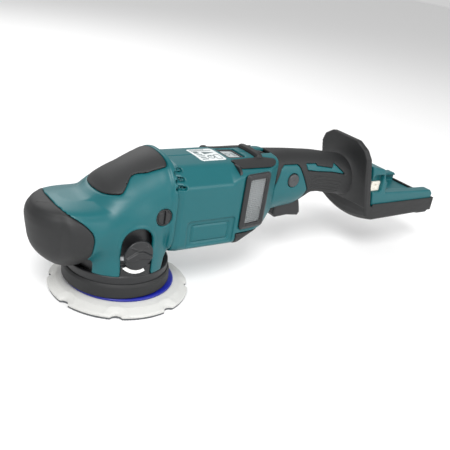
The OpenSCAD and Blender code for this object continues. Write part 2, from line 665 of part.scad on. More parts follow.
// front face of the guard plate, from the bottom up
function guard_front(z0) = [[guard_x + 3 + (guard_top - z0) * 0.245, z0], [guard_x + 3, guard_top]];
panel = [[taper_x1, 78], [taper_x1 + 11, 137], [taper_x1 + 36, 137], [taper_x1 + 58, 97],
    [taper_x1 + 47, 74], [taper_x1, 60]];
trig_x = taper_x1 + 18;
trig_z = 86;
trig_w = 22;
trig_pin_r = 2;
module trigger_axis() translate([trig_x + 4, 0, trig_z]) rotate([90, 0, 0]) children();
button_x = taper_x1 + 27;
button_z = 113;
button_r = 8;
button_out = 1.5;
module handle_cuts() {
    translate([trig_x - 5, -trig_w / 2 - 1, 40]) cube([52, trig_w + 2, 54]);
    translate([button_x, 0, button_z]) rotate([90, 0, 0]) cylinder(r = button_r + gap / 2, h = 100);
}
module handle_shell(side) color(teal) half(side) difference() {
    union() {
        difference() {
            handle_shape(rubber_t);
            handle_shape(rubber_t + wall);
        }
        intersection() {
            across(100) polygon(panel);
            difference() {
                handle_shape(0);
                handle_shape(rubber_t + wall);
            }
        }
        intersection() {
            handle_shape(rubber_t);
            for (p = handle_spots) screw_line(p) cylinder(r = 4.2, h = 100, center = true);
        }
    }
    handle_cuts();
    for (p = handle_spots) screw_line(p) translate([0, 0, -9]) cylinder(r = 1.7, h = 60);
    for (p = handle_spots) screw_line(p) translate([0, 0, 12]) cylinder(r = 3.6, h = 60);
    translate([taper_x1 - 1, rubber_t + wall - handle_w / 2, 78])
        cube([9, handle_w - 2 * rubber_t - 2 * wall, 60]);
}
module handle_shell_left() handle_shell(-1);
module handle_shell_right() handle_shell(1);
module handle_grip() color(rubber) difference() {
    handle_shape(0);
    handle_shape(rubber_t);
    across(100) polygon(panel);
    handle_cuts();
    for (p = handle_spots) screw_line(p) translate([0, 0, 12]) cylinder(r = 3.8, h = 60);
}
module lock_button() color("#4c4f52") translate([button_x, 0, button_z]) rotate([90, 0, 0]) {
    translate([0, 0, handle_w / 2 - 4 - rubber_t]) cylinder(r = button_r, h = 4 + rubber_t + button_out);
    translate([0, 0, 10]) cylinder(r = 3, h = handle_w / 2 - 13 - rubber_t);
}
module trigger() color(black) difference() {
    union() {
        across(trig_w) polygon([[trig_x, 64], [trig_x + 4, 60], [trig_x + 40, 59], [trig_x + 43, 64],
            [trig_x + 40, 75], [trig_x + 36, 84], [trig_x + 2, 84], [trig_x, 78]]);
        trigger_axis() cylinder(r = 4, h = trig_w, center = true);
    }
    trigger_axis() cylinder(r = trig_pin_r + run_fit, h = 60, center = true);
}
module trigger_pin() color(steel) trigger_axis() cylinder(r = trig_pin_r, h = trig_w + 10, center = true);
module switch_body() color("#3b3d40") translate([taper_x1 + 38, -9, 96]) cube([26, 18, 30]);
module controller() color("#2f5a3a") translate([body_x1 - 2, -16, 84]) cube([34, 32, 34]);
module power_leads() color("#8a2a22") for (s = [-1, 1])
    translate([taper_x1 + 64.8, s * 5, 108]) rotate([0, 90 + lean, 0]) cylinder(r = 1.8, h = handle_len - 60);
module housing_screw(p, tip_y, head_y) screw_line(p) {
    translate([0, 0, tip_y]) cylinder(r = 1.7, h = head_y - tip_y);
    translate([0, 0, head_y]) cylinder(r = 3.4, h = 2.4);
}
module housing_screws() color(steel) {
    for (p = boss_spots) housing_screw(p, -12, 16);
    for (p = handle_spots) housing_screw(p, -9, 12);
}

// rear guard and battery mount
guard_t = 9;
tray_x1 = guard_x + 44 + tray_len;
module rear_guard() color(rubber) difference() {
    intersection() {
        across(tray_w + 4) polygon(concat(guard_front(74), [[guard_x + 3 + guard_t, guard_top],
            [guard_x + 35, 74], [guard_x + 46, 62], [tray_x1 - 6, tray_z0], [tray_x1 + 2, tray_z0],
            [tray_x1 + 2, 56], [tray_x1 - 6, 47], [tray_x1 - 22, 47], [tray_x1 - 26, 50]],
            arc(guard_x + 47, 72, 22, 265, 205, 5)));
        rearwards(guard_x - 10, 300) polygon([[-tray_w / 2 - 2, 20], [tray_w / 2 + 2, 20],
            [tray_w / 2 + 2, guard_top - 20], [tray_w / 2 - 16, guard_top], [16 - tray_w / 2, guard_top],
            [-tray_w / 2 - 2, guard_top - 20]]);
    }
    for (s = [-1, 1]) translate([guard_x - 10, s * 5, 118]) rotate([0, 90 + lean, 0]) cylinder(r = 3, h = 60);
}
tray_z0 = 66;
tray_z1 = 91;
slot_z = 74;
slot_w = 62;
module battery_mount() color(teal) difference() {
    across(tray_w) polygon([[guard_x + 37, 74], [guard_x + 47, tray_z0 - 2], [tray_x1 - 6, tray_z0],
        [tray_x1 - 2, tray_z0 + 4], [tray_x1 - 2, tray_z1 - 6], [tray_x1 - 8, tray_z1],
        [guard_x + 58, tray_z1 - 4], [guard_x + 50, 124], [guard_x + 24, 128]]);
    translate([guard_x + 52, -slot_w / 2 + 4, slot_z]) cube([300, slot_w - 8, 60]);
    translate([guard_x + 52, -slot_w / 2, slot_z]) cube([300, slot_w, 9]);
    for (s = [-1, 1]) translate([guard_x + 20, s * 22 - 5, 96]) cube([60, 10, 22]);
    translate([guard_x + 20, -8, 90]) cube([60, 16, 40]);
}
module terminal_block() color(black) translate([guard_x + 53, -slot_w / 2 + 5, slot_z]) difference() {
    cube([34, slot_w - 10, 12]);
    for (y = [8, slot_w - 20]) translate([6, y, 6]) cube([40, 4, 10]);
    translate([6, slot_w / 2 - 9, 4]) cube([40, 8, 12]);
}
module terminal_blades() color("#c9b26b") for (y = [8, slot_w - 20])
    translate([guard_x + 59, -slot_w / 2 + 5 + y + 1.5, slot_z + 6]) cube([26, 1, 9]);

hook_face();
foam_pad();
hub_plate();
pad_gear();
pad_arbor();
pad_bolt();
eccentric_hub();
counterweight();
pad_bearings();
spindle();
bevel_gear();
gear_nut();
spindle_bearings();
ring_gear();
gear_housing();
lower_housing();
skirt();
dust_seal();
head_cover();
nose_bumper();
top_grip();
side_plugs();
head_screws();
mode_knob();
knob_mark();
lock_pin();
motor_housing_left();
motor_housing_right();
stator_core();
stator_windings();
rotor_shaft();
rotor_core();
cooling_fan();
drive_pinion();
motor_bearings();
bearing_holder();
label_plate();
window_lens();
speed_dial();
dial_pin();
bridge_strap();
filter_cover_left();
filter_cover_right();
filter_mesh_left();
filter_mesh_right();
handle_shell_left();
handle_shell_right();
handle_grip();
lock_button();
trigger();
trigger_pin();
switch_body();
controller();
power_leads();
housing_screws();
rear_guard();
battery_mount();
terminal_block();
terminal_blades();
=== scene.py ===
import json
import math

import bmesh
import bpy
import numpy as np
from mathutils import Matrix, Vector


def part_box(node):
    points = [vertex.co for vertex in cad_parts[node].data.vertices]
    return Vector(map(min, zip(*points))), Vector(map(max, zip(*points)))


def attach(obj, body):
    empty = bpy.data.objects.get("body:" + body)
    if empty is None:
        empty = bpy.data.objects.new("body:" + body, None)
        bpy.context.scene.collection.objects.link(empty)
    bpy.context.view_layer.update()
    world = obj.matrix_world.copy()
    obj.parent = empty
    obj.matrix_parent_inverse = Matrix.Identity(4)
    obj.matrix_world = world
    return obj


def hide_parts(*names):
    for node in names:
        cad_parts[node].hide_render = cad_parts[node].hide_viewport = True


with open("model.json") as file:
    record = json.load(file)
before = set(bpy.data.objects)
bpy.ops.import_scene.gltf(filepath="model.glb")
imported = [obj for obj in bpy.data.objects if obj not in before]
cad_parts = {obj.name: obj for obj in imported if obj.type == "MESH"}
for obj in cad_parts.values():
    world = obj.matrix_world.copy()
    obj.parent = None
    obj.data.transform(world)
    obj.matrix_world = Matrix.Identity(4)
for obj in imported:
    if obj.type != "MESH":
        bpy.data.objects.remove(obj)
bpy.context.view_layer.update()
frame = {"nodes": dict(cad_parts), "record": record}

print("frame loaded")


def boxMm(node):
    low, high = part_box(node)
    return [v * 1000 for v in low], [v * 1000 for v in high]


motorLow, motorHigh = boxMm("motor_housing_left")
skirtLow, skirtHigh = boxMm("skirt")
knobLow, knobHigh = boxMm("mode_knob")
guardLow, guardHigh = boxMm("rear_guard")
mountLow, mountHigh = boxMm("battery_mount")
padLow, padHigh = boxMm("foam_pad")
plateLow, plateHigh = boxMm("hub_plate")
dialLow, dialHigh = boxMm("speed_dial")
buttonLow, buttonHigh = boxMm("lock_button")


# ---- fields: negative inside, about a distance in mm ----

def meet(a, b, k):
    h = np.maximum(k - np.abs(a - b), 0) / k
    return np.maximum(a, b) + h * h * k / 4


def unite(a, b, k):
    return -meet(-a, -b, k)


def curve(x, knots):
    # smooth line through (place, value) knots, flat beyond both ends
    xs = np.array([p[0] for p in knots], float)
    ys = np.array([p[1] for p in knots], float)
    slope = np.gradient(ys, xs)
    i = np.clip(np.searchsorted(xs, x) - 1, 0, len(xs) - 2)
    gap = xs[i + 1] - xs[i]
    t = np.clip((x - xs[i]) / gap, 0, 1)
    a, b = ys[i], ys[i + 1]
    return (a * (2 * t ** 3 - 3 * t ** 2 + 1) + b * (3 * t ** 2 - 2 * t ** 3)
        + gap * (slope[i] * (t ** 3 - 2 * t ** 2 + t) + slope[i + 1] * (t ** 3 - t ** 2)))


def roundRect(u, v, u0, v0, u1, v1, r):
    a = np.abs(u - (u0 + u1) / 2) - ((u1 - u0) / 2 - r)
    b = np.abs(v - (v0 + v1) / 2) - ((v1 - v0) / 2 - r)
    return np.minimum(np.maximum(a, b), 0) + np.hypot(np.maximum(a, 0), np.maximum(b, 0)) - r


def roundBoth(a, b, r):
    # where both fields are negative, with the edge between them rounded to r
    a, b = a + r, b + r
    return np.minimum(np.maximum(a, b), 0) + np.hypot(np.maximum(a, 0), np.maximum(b, 0)) - r


def polygon(u, v, points):
    u, v = np.broadcast_arrays(u, v)
    best = np.full(u.shape, 1e9)
    sign = np.ones(u.shape)
    for i, (bu, bv) in enumerate(points):
        au, av = points[i - 1]
        eu, ev = au - bu, av - bv
        wu, wv = u - bu, v - bv
        t = np.clip((wu * eu + wv * ev) / (eu * eu + ev * ev), 0, 1)
        best = np.minimum(best, (wu - eu * t) ** 2 + (wv - ev * t) ** 2)
        c1, c2, c3 = v >= bv, v < av, eu * wv > ev * wu
        sign = np.where((c1 & c2 & c3) | (~c1 & ~c2 & ~c3), -sign, sign)
    return sign * np.sqrt(best)


def carved(f, a, b, inner, outer):
    # f less the places where a and b are both negative, with the two edges rounded
    return meet(f, -meet(a, b, inner), outer)


def loft(side, height, halfWidth, low, high, power):
    # superelliptic section: side across, height between low and high
    c = (low + high) / 2
    half = (high - low) / 2
    r = ((np.abs(side) / halfWidth) ** power + (np.abs(height - c) / half) ** power) ** (1 / power)
    return (r - 1) * np.minimum(halfWidth, half)


# ---- from field to mesh ----

def surfaceNet(values, low, cell):
    inside = values < 0
    cells = np.array(values.shape) - 1
    total = np.zeros((*cells, 3))
    count = np.zeros(cells)
    for axis in range(3):
        others = [a for a in range(3) if a != axis]
        for shift in ((0, 0), (0, 1), (1, 0), (1, 1)):
            first = [slice(0, n) for n in cells]
            for a, s in zip(others, shift):
                first[a] = slice(s, s + cells[a])
            second = list(first)
            second[axis] = slice(1, cells[axis] + 1)
            a, b = values[tuple(first)], values[tuple(second)]
            cross = (a < 0) != (b < 0)
            t = np.where(cross, a / np.where(cross, a - b, 1), 0)
            count += cross
            total[..., axis] += t
            for k, s in zip(others, shift):
                total[..., k] += cross * s
    active = count > 0
    index = np.full(cells, -1)
    index[active] = np.arange(active.sum())
    points = low + cell * (np.argwhere(active) + total[active] / count[active][:, None])
    quads = []
    for axis in range(3):
        u, w = (axis + 1) % 3, (axis + 2) % 3
        first = [None] * 3
        first[axis] = slice(0, cells[axis])
        first[u] = slice(1, cells[u])
        first[w] = slice(1, cells[w])
        second = list(first)
        second[axis] = slice(1, cells[axis] + 1)
        a, b = inside[tuple(first)], inside[tuple(second)]
        at = np.argwhere(a != b)
        at[:, u] += 1
        at[:, w] += 1

        def cellAt(du, dw):
            c = at.copy()
            c[:, u] += du
            c[:, w] += dw
            return index[c[:, 0], c[:, 1], c[:, 2]]

        quad = np.stack([cellAt(-1, -1), cellAt(0, -1), cellAt(0, 0), cellAt(-1, 0)], 1)
        out = a[a != b]
        quads.append(np.where(out[:, None], quad, quad[:, ::-1]))
    return points, np.concatenate(quads)


def meshFromField(name, field, low, high, cell):
    low = np.array(low, float) - 2.01 * cell
    high = np.array(high, float) + 2 * cell
    n = np.ceil((high - low) / cell).astype(int) + 1
    axes = [low[i] + cell * np.arange(n[i]) for i in range(3)]
    grid = np.meshgrid(*axes, indexing="ij", sparse=True)
    values = np.broadcast_to(field(*grid), tuple(n)).astype(float)
    values = np.where(values == 0, 1e-9, values)
    points, quads = surfaceNet(values, low, cell)
    # the vertices are drawn onto the surface itself
    step = 0.25 * cell
    for _ in range(3):
        x, y, z = points.T
        f = field(x, y, z)
        g = np.stack([field(x + step, y, z) - field(x - step, y, z),
            field(x, y + step, z) - field(x, y - step, z),
            field(x, y, z + step) - field(x, y, z - step)], 1) / (2 * step)
        size = np.maximum((g ** 2).sum(1), 0.04)
        move = -g * (f / size)[:, None]
        length = np.maximum(np.linalg.norm(move, axis=1), 1e-9)
        points = points + move * np.minimum(1, 0.45 * cell / length)[:, None]
    return meshObject(name, points, quads)


def meshObject(name, points, faces, smooth=True):
    mesh = bpy.data.meshes.new(name)
    mesh.from_pydata((np.asarray(points) / 1000).tolist(), [], [list(map(int, f)) for f in faces])
    mesh.validate()
    if smooth:
        mesh.shade_smooth()
    thing = bpy.data.objects.new(name, mesh)
    bpy.context.scene.collection.objects.link(thing)
    return thing


def softened(points, radius, steps=3):
    # a closed outline with its corners rounded
    result = []
    for i, p in enumerate(points):
        p = Vector(p)
        a, b = Vector(points[i - 1]) - p, Vector(points[(i + 1) % len(points)]) - p
        cut = min(radius, a.length * 0.45, b.length * 0.45)
        start, end = p + a.normalized() * cut, p + b.normalized() * cut
        for k in range(steps + 1):
            t = k / steps
            result.append(start * (1 - t) ** 2 + p * 2 * t * (1 - t) + end * t * t)
    return result


def turned(name, profile, place=None, steps=128):
    # a closed (radius, height) profile turned about Z
    profile = [(max(r, 0), z) for r, z in profile]
    m = len(profile)
    angle = np.arange(steps) * 2 * math.pi / steps
    points = [(r * math.cos(a), r * math.sin(a), z) for a in angle for r, z in profile]
    faces = [(i * m + k, ((i + 1) % steps) * m + k, ((i + 1) % steps) * m + (k + 1) % m, i * m + (k + 1) % m)
        for i in range(steps) for k in range(m)]
    thing = meshObject(name, points, faces)
    if place is not None:
        thing.data.transform(place)
    tidyMesh(thing)
    return thing


def tidyMesh(thing):
    work = bmesh.new()
    work.from_mesh(thing.data)
    bmesh.ops.remove_doubles(work, verts=work.verts, dist=1e-6)
    bmesh.ops.recalc_face_normals(work, faces=work.faces)
    work.to_mesh(thing.data)
    work.free()
    thing.data.set_sharp_from_angle(angle=math.radians(38))


def alongY(x, y, z):
    # turns a shape's +Z to -Y and moves it to (x, y, z) mm
    return Matrix.Translation((x / 1000, y / 1000, z / 1000)) @ Matrix.Rotation(math.radians(90), 4, "X")


# ---- materials ----

def linear(code):
    # sRGB hex to linear
    parts = [int(code[i:i + 2], 16) / 255 for i in (1, 3, 5)]
    return [c / 12.92 if c <= 0.04045 else ((c + 0.055) / 1.055) ** 2.4 for c in parts] + [1]


def addNode(tree, kind, settings=None, links=None):
    made = tree.nodes.new(kind)
    for key, value in (settings or {}).items():
        if key in made.inputs:
            made.inputs[key].default_value = value
        else:
            setattr(made, key, value)
    for key, source in (links or {}).items():
        tree.links.new(source, made.inputs[key])
    return made


def material(name, look):
    made = bpy.data.materials.new(name)
    made.use_nodes = True
    tree = made.node_tree
    tree.nodes.clear()
    place = addNode(tree, "ShaderNodeTexCoord").outputs["Object"]
    wide = addNode(tree, "ShaderNodeTexNoise", {"Scale": 1000 / look.get("patchMm", 30), "Detail": 3.0},
        {"Vector": place})
    fine = addNode(tree, "ShaderNodeTexNoise", {"Scale": 1000 / look.get("grainMm", 0.8), "Detail": 2.0},
        {"Vector": place})
    colour = linear(look["colour"])
    dark = [c * look.get("shade", 0.93) for c in colour[:3]] + [1]
    mix = addNode(tree, "ShaderNodeMix", {"data_type": "RGBA"}, {"Factor": wide.outputs["Fac"]})
    mix.inputs[6].default_value = dark
    mix.inputs[7].default_value = colour
    rough = look["roughness"]
    spread = look.get("spread", 0.06)
    roughness = addNode(tree, "ShaderNodeMapRange", {"To Min": rough - spread, "To Max": rough + spread},
        {"Value": wide.outputs["Fac"]})
    bump = addNode(tree, "ShaderNodeBump", {"Strength": look.get("bump", 0.1),
            "Distance": look.get("grainMm", 0.8) / 3000},
        {"Height": fine.outputs["Fac"]})
    shader = addNode(tree, "ShaderNodeBsdfPrincipled",
        {"Metallic": look.get("metallic", 0.0), "IOR": look.get("ior", 1.5),
         "Coat Weight": look.get("coat", 0.0), "Coat Roughness": 0.15,
         "Sheen Weight": look.get("sheen", 0.0)},
        {"Base Color": mix.outputs[2], "Roughness": roughness.outputs["Result"],
         "Normal": bump.outputs["Normal"]})
    addNode(tree, "ShaderNodeOutputMaterial", {}, {"Surface": shader.outputs["BSDF"]})
    return made


looks = {
    # glass-filled nylon with a fine spark texture: soft highlight, saturated colour
    "teal_plastic": ("tealNylonMoulded", {"colour": "#08575d", "ior": 1.42, "roughness": 0.4, "bump": 0.12,
                                          "grainMm": 0.9}),
    # thermoplastic rubber overmould: matt, no clear highlight
    "black_rubber": ("rubberOvermould", {"colour": "#151617", "roughness": 0.6, "bump": 0.25,
                                         "grainMm": 0.9}),
    # ABS from a textured mould: dark, faint broad highlight
    "black_plastic": ("blackAbsMoulded", {"colour": "#17181a", "roughness": 0.45, "bump": 0.15}),
    "grey_plastic": ("greyAbsMoulded", {"colour": "#3a3c3e", "roughness": 0.45, "bump": 0.15}),
    # skinned polyurethane foam: pale, dull, tiny open pores
    "pad_foam": ("polyurethaneFoam", {"colour": "#c4c4c1", "roughness": 0.88, "bump": 0.5, "grainMm": 1.4,
                                      "sheen": 0.15, "shade": 0.96}),
    # woven nylon hook tape: dull fuzz
    "hook_nylon": ("hookTape", {"colour": "#55585b", "roughness": 0.92, "bump": 0.9, "grainMm": 1.2,
                                "sheen": 0.2}),
    # moulded nylon disc in a strong blue
    "hub_blue": ("blueNylonMoulded", {"colour": "#101c8a", "roughness": 0.4, "bump": 0.1}),
    "gear_nylon": ("naturalNylonMoulded", {"colour": "#d6d2c6", "roughness": 0.45}),
    # ground and hardened steel
    "steel": ("groundSteel", {"colour": "#b4b6b8", "roughness": 0.32, "metallic": 1.0, "grainMm": 0.5}),
    # die-cast aluminium, as cast
    "cast_alloy": ("dieCastAluminium", {"colour": "#b9bbbd", "roughness": 0.5, "metallic": 1.0, "bump": 0.3}),
    "counterweight_iron": ("castIron", {"colour": "#6b6253", "roughness": 0.62, "metallic": 1.0,
                                        "bump": 0.4}),
    "felt": ("pressedFelt", {"colour": "#85806f", "roughness": 0.95, "bump": 0.8, "sheen": 0.3}),
    # pad-printed white ink
    "white_mark": ("printedWhiteInk", {"colour": "#eeeeec", "roughness": 0.5, "bump": 0.05}),
    "laminations": ("stampedSteelStack", {"colour": "#7c7e80", "roughness": 0.5, "metallic": 1.0,
                                          "grainMm": 0.5}),
    "copper_wire": ("enamelledCopper", {"colour": "#b5662f", "roughness": 0.35, "metallic": 1.0, "coat": 0.4,
                                        "grainMm": 1.0, "bump": 0.6}),
    # polyester label film under a clear laminate
    "label_film": ("labelFilm", {"colour": "#d7dcdc", "roughness": 0.35, "coat": 0.3, "bump": 0.04}),
    # clear polycarbonate over a grey display: reads as a smooth grey plate
    "lens_plastic": ("polycarbonateLens", {"colour": "#a9b0b1", "roughness": 0.2, "coat": 0.6, "bump": 0.02}),
    "circuit_board": ("pottedBoard", {"colour": "#1f4a34", "roughness": 0.4, "coat": 0.3}),
    "lead_insulation": ("siliconeInsulation", {"colour": "#8c1f18", "roughness": 0.55}),
    "contact_brass": ("stampedBrass", {"colour": "#c8b06a", "roughness": 0.35, "metallic": 1.0}),
}
finishes = {key: material(name, look) for key, (name, look) in looks.items()}
# woven stainless mesh with dust in it, seen as pale grey
meshCloth = material("filterCloth", {"colour": "#8f9696", "roughness": 0.7, "bump": 0.6, "grainMm": 1.2})
# grey ink on the label
labelInk = material("labelInk", {"colour": "#5c6a6c", "roughness": 0.5})

for record in frame["record"]["subparts"]:
    node = frame["nodes"][record["node"]]
    node.data.materials.clear()
    node.data.materials.append(finishes[record["material_slot"]])
print("materials made")


def keep(piece, body, slotName, nodes=(), finish=None):
    piece.data.materials.clear()
    piece.data.materials.append(finish or finishes[slotName])
    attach(piece, body)
    if nodes:
        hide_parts(*nodes)
    return piece


# ---- shape of the motor housing ----

motor = {"x0": motorLow[0], "x1": motorHigh[0], "top": motorHigh[2], "half": -motorLow[1]}
bendX = 118
filterLow, filterHigh = boxMm("filter_cover_left")
filterTurn = math.atan2(5.6, 38)
filterBox = {"x": bendX + 0.6, "len": 37, "z0": filterLow[2], "z1": filterHigh[2]}
label = {"x0": 79, "x1": 111, "half": 17.7}
window = {"x0": 114.5, "x1": 138.5, "half": 14.3, "lensIn": 3.4, "lensHalf": 10.7, "drop": 1.8, "fall": 0.05}
dial = {"x": (dialLow[0] + dialHigh[0]) / 2, "z": (dialLow[2] + dialHigh[2]) / 2,
    "r": (dialHigh[0] - dialLow[0]) / 2, "half": dialHigh[1]}
bosses = [(46, 57.4), (46, 136), (132, 59), (132, 131), (166, 84), (166, 110)]


def crest(y):
    return motor["top"] - 0.0022 * np.asarray(y) ** 2


def motorSolid(x, y, z, o=0.0):
    half = np.interp(x, [38, 40, 45, bendX, bendX + 38, 178], [43.4, 44, 46, 46, 40.4, 25]) - o
    drop = np.interp(x, [38, 40, 45], [-3.4, -2.8, 0])
    top = crest(y) + drop - o
    bottom = np.interp(x, [38, 124, 174, 180], [52, 52, 72, 73]) + o
    middle = (top + bottom) / 2
    r = np.where(z > middle, 8.0, 10.0) - np.minimum(o, 6)
    a = np.abs(y) - (half - r)
    b = np.abs(z - middle) - ((top - bottom) / 2 - r)
    f = np.minimum(np.maximum(a, b), 0) + np.hypot(np.maximum(a, 0), np.maximum(b, 0)) - r
    # slanted shoulder, flatter over the filters
    steep = 0.676 * (np.abs(y) - 28) + 0.737 * (z - motor["top"] + 2.2 - drop) + o
    flat = 0.311 * (np.abs(y) - 20) + 0.951 * (z - motor["top"] + 0.8) + o
    blend = np.interp(x, [104, 118], [0, 1])
    f = meet(f, steep * (1 - blend) + flat * blend, 2.5)
    f = meet(f, motor["x0"] + 0.15 - x, 1.2)
    return meet(f, x - motor["x1"] + 0.1, 1.2)


def solid(name, field, low, high, cell, *rest, **more):
    return keep(meshFromField(name, field, low, high, cell), *rest, **more)


# ---- head ----

seamX = motorLow[0]
columnR = boxMm("lower_housing")[1][0]
columnZ = boxMm("head_cover")[0][2]
head = {
    "top": [(-70, 106), (-60, 106.5), (-50, 108), (-38, 114), (-24, 125.5), (-8, 135.5), (8, 143), (20, 148),
            (30, 150.5), (38, 149.5)],
    "bottom": [(-70, 56), (-60, 54), (-50, 52), (-38, 52), (-24, 54), (-8, 56), (8, 57), (20, 58), (38, 58)],
    "halfWidth": [(-70, 43), (-60, 45), (-50, 46.5), (-38, 47), (-24, 46.8), (-8, 46.5), (38, 46.5)],
    "power": [(-70, 2.4), (-50, 2.1), (-38, 2), (-24, 1.95), (-8, 1.95), (8, 2), (20, 2.1), (30, 2.3),
              (38, 2.4)],
}
# the nose leans forward as it rises, so its centre moves with height
bulb = {
    "x": [(39, -62), (55, -57), (75, -51), (90, -50), (110, -52)],
    "depth": [(39, 8), (44, 17), (50, 26), (58, 35), (66, 41), (75, 45), (85, 47.5), (92, 48), (100, 44.5),
              (106, 36), (109.5, 20)],
    "halfWidth": [(39, 12), (44, 22), (50, 30), (58, 36), (66, 40), (75, 43), (85, 44.5), (92, 44), (100, 41),
                  (106, 34), (109.5, 20)],
}
knob = {"x": (knobLow[0] + knobHigh[0]) / 2, "z": (knobLow[2] + knobHigh[2]) / 2,
    "r": (knobHigh[0] - knobLow[0]) / 2, "recessR": 16.5, "top": 88}
plug = {"x": 24, "z": 96, "r": 9}
collar = {"x": 34.6, "thick": 6.8, "half": 47.4, "low": 53, "high": 151}
noseEdge = [(38, -56), (52, -52), (60, -50), (72, -49.5), (82, -49.5), (88, -51.5), (93, -55.5), (97, -60),
    (102, -68), (106, -75), (110, -82), (118, -88)]


def headSolid(x, y, z, o=0.0):
    low, high = curve(x, head["bottom"]), curve(x, head["top"])
    # round above the middle, squarer below
    power = np.where(z > (low + high) / 2, curve(x, head["power"]), 2.8)
    upper = loft(y, z, curve(x, head["halfWidth"]) - o, low + o, high - o, power)
    upper = meet(upper, -72 + o - x, 6)
    a, w = curve(z, bulb["depth"]) - o, curve(z, bulb["halfWidth"]) - o
    a, w = np.maximum(a, 2), np.maximum(w, 2)
    r = ((np.abs(x - curve(z, bulb["x"])) / a) ** 2.05 + (np.abs(y) / w) ** 2.05) ** (1 / 2.05)
    nose = meet((r - 1) * 30, 39 + o - z, 7)
    nose = meet(nose, z - 109 + o, 7)
    column = np.hypot(x, y) - curve(z, [(38, columnR), (46, 53.8), (60, 52), (80, 49), (100, 44),
        (112, 36)]) + o
    column = meet(column, z - 108 + o, 8)
    return unite(unite(upper, nose, 7), column, 12)


def knobOutline(x, z, o):
    k = knob
    return roundRect(x, z, k["x"] - k["recessR"] + o, 20, k["x"] + k["recessR"] - o, k["top"] - o,
        k["recessR"] - 1 - o)


def gripEdge(x, y, z):
    # negative where the top grip covers the head
    front = -50 + 1.22 * np.maximum(np.abs(y) - 11, 0) - x
    lower = curve(x, [(-50, 117), (-24, 117), (-17, 119), (-12, 124), (-6, 130.5), (12, 137), (34, 144)]) - z
    return meet(meet(front * 0.64, lower, 7), x - 32, 3)


# short slots across the seam: how far they reach each way, the lowest one's height, pitch, width and depth
louvre = {"ahead": 3, "behind": 10, "count": 3, "z": 122.5, "pitch": 6.8, "width": 3.8, "depth": 2.6}


def louvres(x, y, z):
    best = 99
    for i in range(louvre["count"]):
        z0 = louvre["z"] + louvre["pitch"] * i
        slot = roundRect(x, z, seamX - louvre["ahead"], z0, seamX + louvre["behind"], z0 + louvre["width"],
            1.5)
        best = np.minimum(best, slot)
    return meet(meet(best, -motorSolid(x, y, z, louvre["depth"]), 0.8), 25 - np.abs(y), 0.8)


def headCover(x, y, z):
    rim = np.exp(-((knobOutline(x, z, 0) - 2.2) / 1.5) ** 2) * np.clip((z - 60) / 12, 0, 1) * (y < 0)
    whole = headSolid(x, y, z) - 0.9 * rim
    # collar that meets the motor housing
    edge = loft(y, z, collar["half"], collar["low"], collar["high"], np.where(z > 102, 2.6, 6))
    edge = meet(edge, np.abs(x - collar["x"] - 0.02 * np.abs(y)) - collar["thick"] / 2, 2.2)
    whole = unite(whole, edge, 2.5)
    f = meet(whole, -headSolid(x, y, z, 3.2), 0.8)
    f = meet(f, columnZ - z, 1)
    f = meet(f, x - seamX + 0.15, 1)
    # nose and top grip sit in rebates
    nose = curve(z, noseEdge) - x
    f = meet(f, nose + 0.35, 1.1)
    f = carved(f, gripEdge(x, y, z) - 0.35, -headSolid(x, y, z, 5.2), 0.6, 1.1)
    # dark openings below the nose and behind the column
    front = meet(np.abs(y) + 0.7536 * x, z - 57, 8)
    f = meet(f, -front, 1.5)
    rear = meet((27 - x + 0.28 * (z - 38)) * 0.9, z - 53, 7)
    f = meet(f, -rear, 1.5)
    f = carved(f, knobOutline(x, z, 0), y + 20, 1, 1.6)
    hole = np.hypot(x - plug["x"], z - plug["z"]) - plug["r"] - 0.3
    f = carved(f, hole, 30 - np.abs(y), 1, 0.7)
    return meet(f, -louvres(x, y, z), 0.8)


cell = 1.25
solid("headCover", headCover, [-80, -58, 37], [39, 58, 152], cell, "housing", "teal_plastic", ["head_cover"])


def noseBumper(x, y, z):
    outer = headSolid(x, y, z, -0.5)
    # small moulded chevron on the front of the top
    chevron = polygon(y, x, [(-8, -82), (0, -90), (8, -82), (8, -79.5), (0, -87), (-8, -79.5)])
    outer = outer - 0.6 * np.clip(0.5 - chevron, 0, 1) * (z > 90)
    f = meet(outer, -headSolid(x, y, z, 6), 1)
    return meet(f, x - curve(z, noseEdge) + 0.1, 1.6)


solid("noseBumper", noseBumper, [-99, -50, 37], [-48, 50, 112], cell, "housing", "black_rubber",
    ["nose_bumper"])


def topGrip(x, y, z):
    f = meet(headSolid(x, y, z, -0.9), -headSolid(x, y, z, 4.2), 1)
    return meet(f, gripEdge(x, y, z) + 0.05, 2.2)


solid("topGrip", topGrip, [-56, -50, 104], [34, 50, 153], cell, "housing", "black_rubber", ["top_grip"])


def lowerHousing(x, y, z):
    r = np.hypot(x, y)
    outer = meet(np.maximum(r - columnR, 49.5 - r), np.maximum(skirtLow[2] + 0.3 - z, z - columnZ), 1.2)
    inner = meet(np.maximum(r - 48.4, 46.6 - r), np.maximum(23 - z, z - 56), 1)
    shroud = meet(np.maximum(r - columnR + 1.6, 46.6 - r), np.maximum(z - columnZ - 11, columnZ - 2 - z), 1)
    shroud = meet(shroud, knobOutline(x, z, 0.3), 1)
    shroud = meet(shroud, y, 1)
    f = np.minimum(np.minimum(outer, inner), shroud)
    # back of the knob's pocket
    pocket = meet(headSolid(x, y, z, 6.5), -headSolid(x, y, z, 9), 0.6)
    pocket = meet(meet(pocket, knobOutline(x, z, -2.5), 1), np.maximum(y + 20, 52 - z), 1)
    f = np.minimum(f, pocket)
    # the knob turns in its own round pocket
    room = meet(np.hypot(x - knob["x"], z - knob["z"]) - knob["r"] - 0.7, y + 49.1, 0.5)
    shaft = meet(np.hypot(x - knob["x"], z - knob["z"]) - 6.9, y, 0.5)
    f = meet(f, -room, 0.6)
    f = meet(f, -shaft, 0.5)
    return f


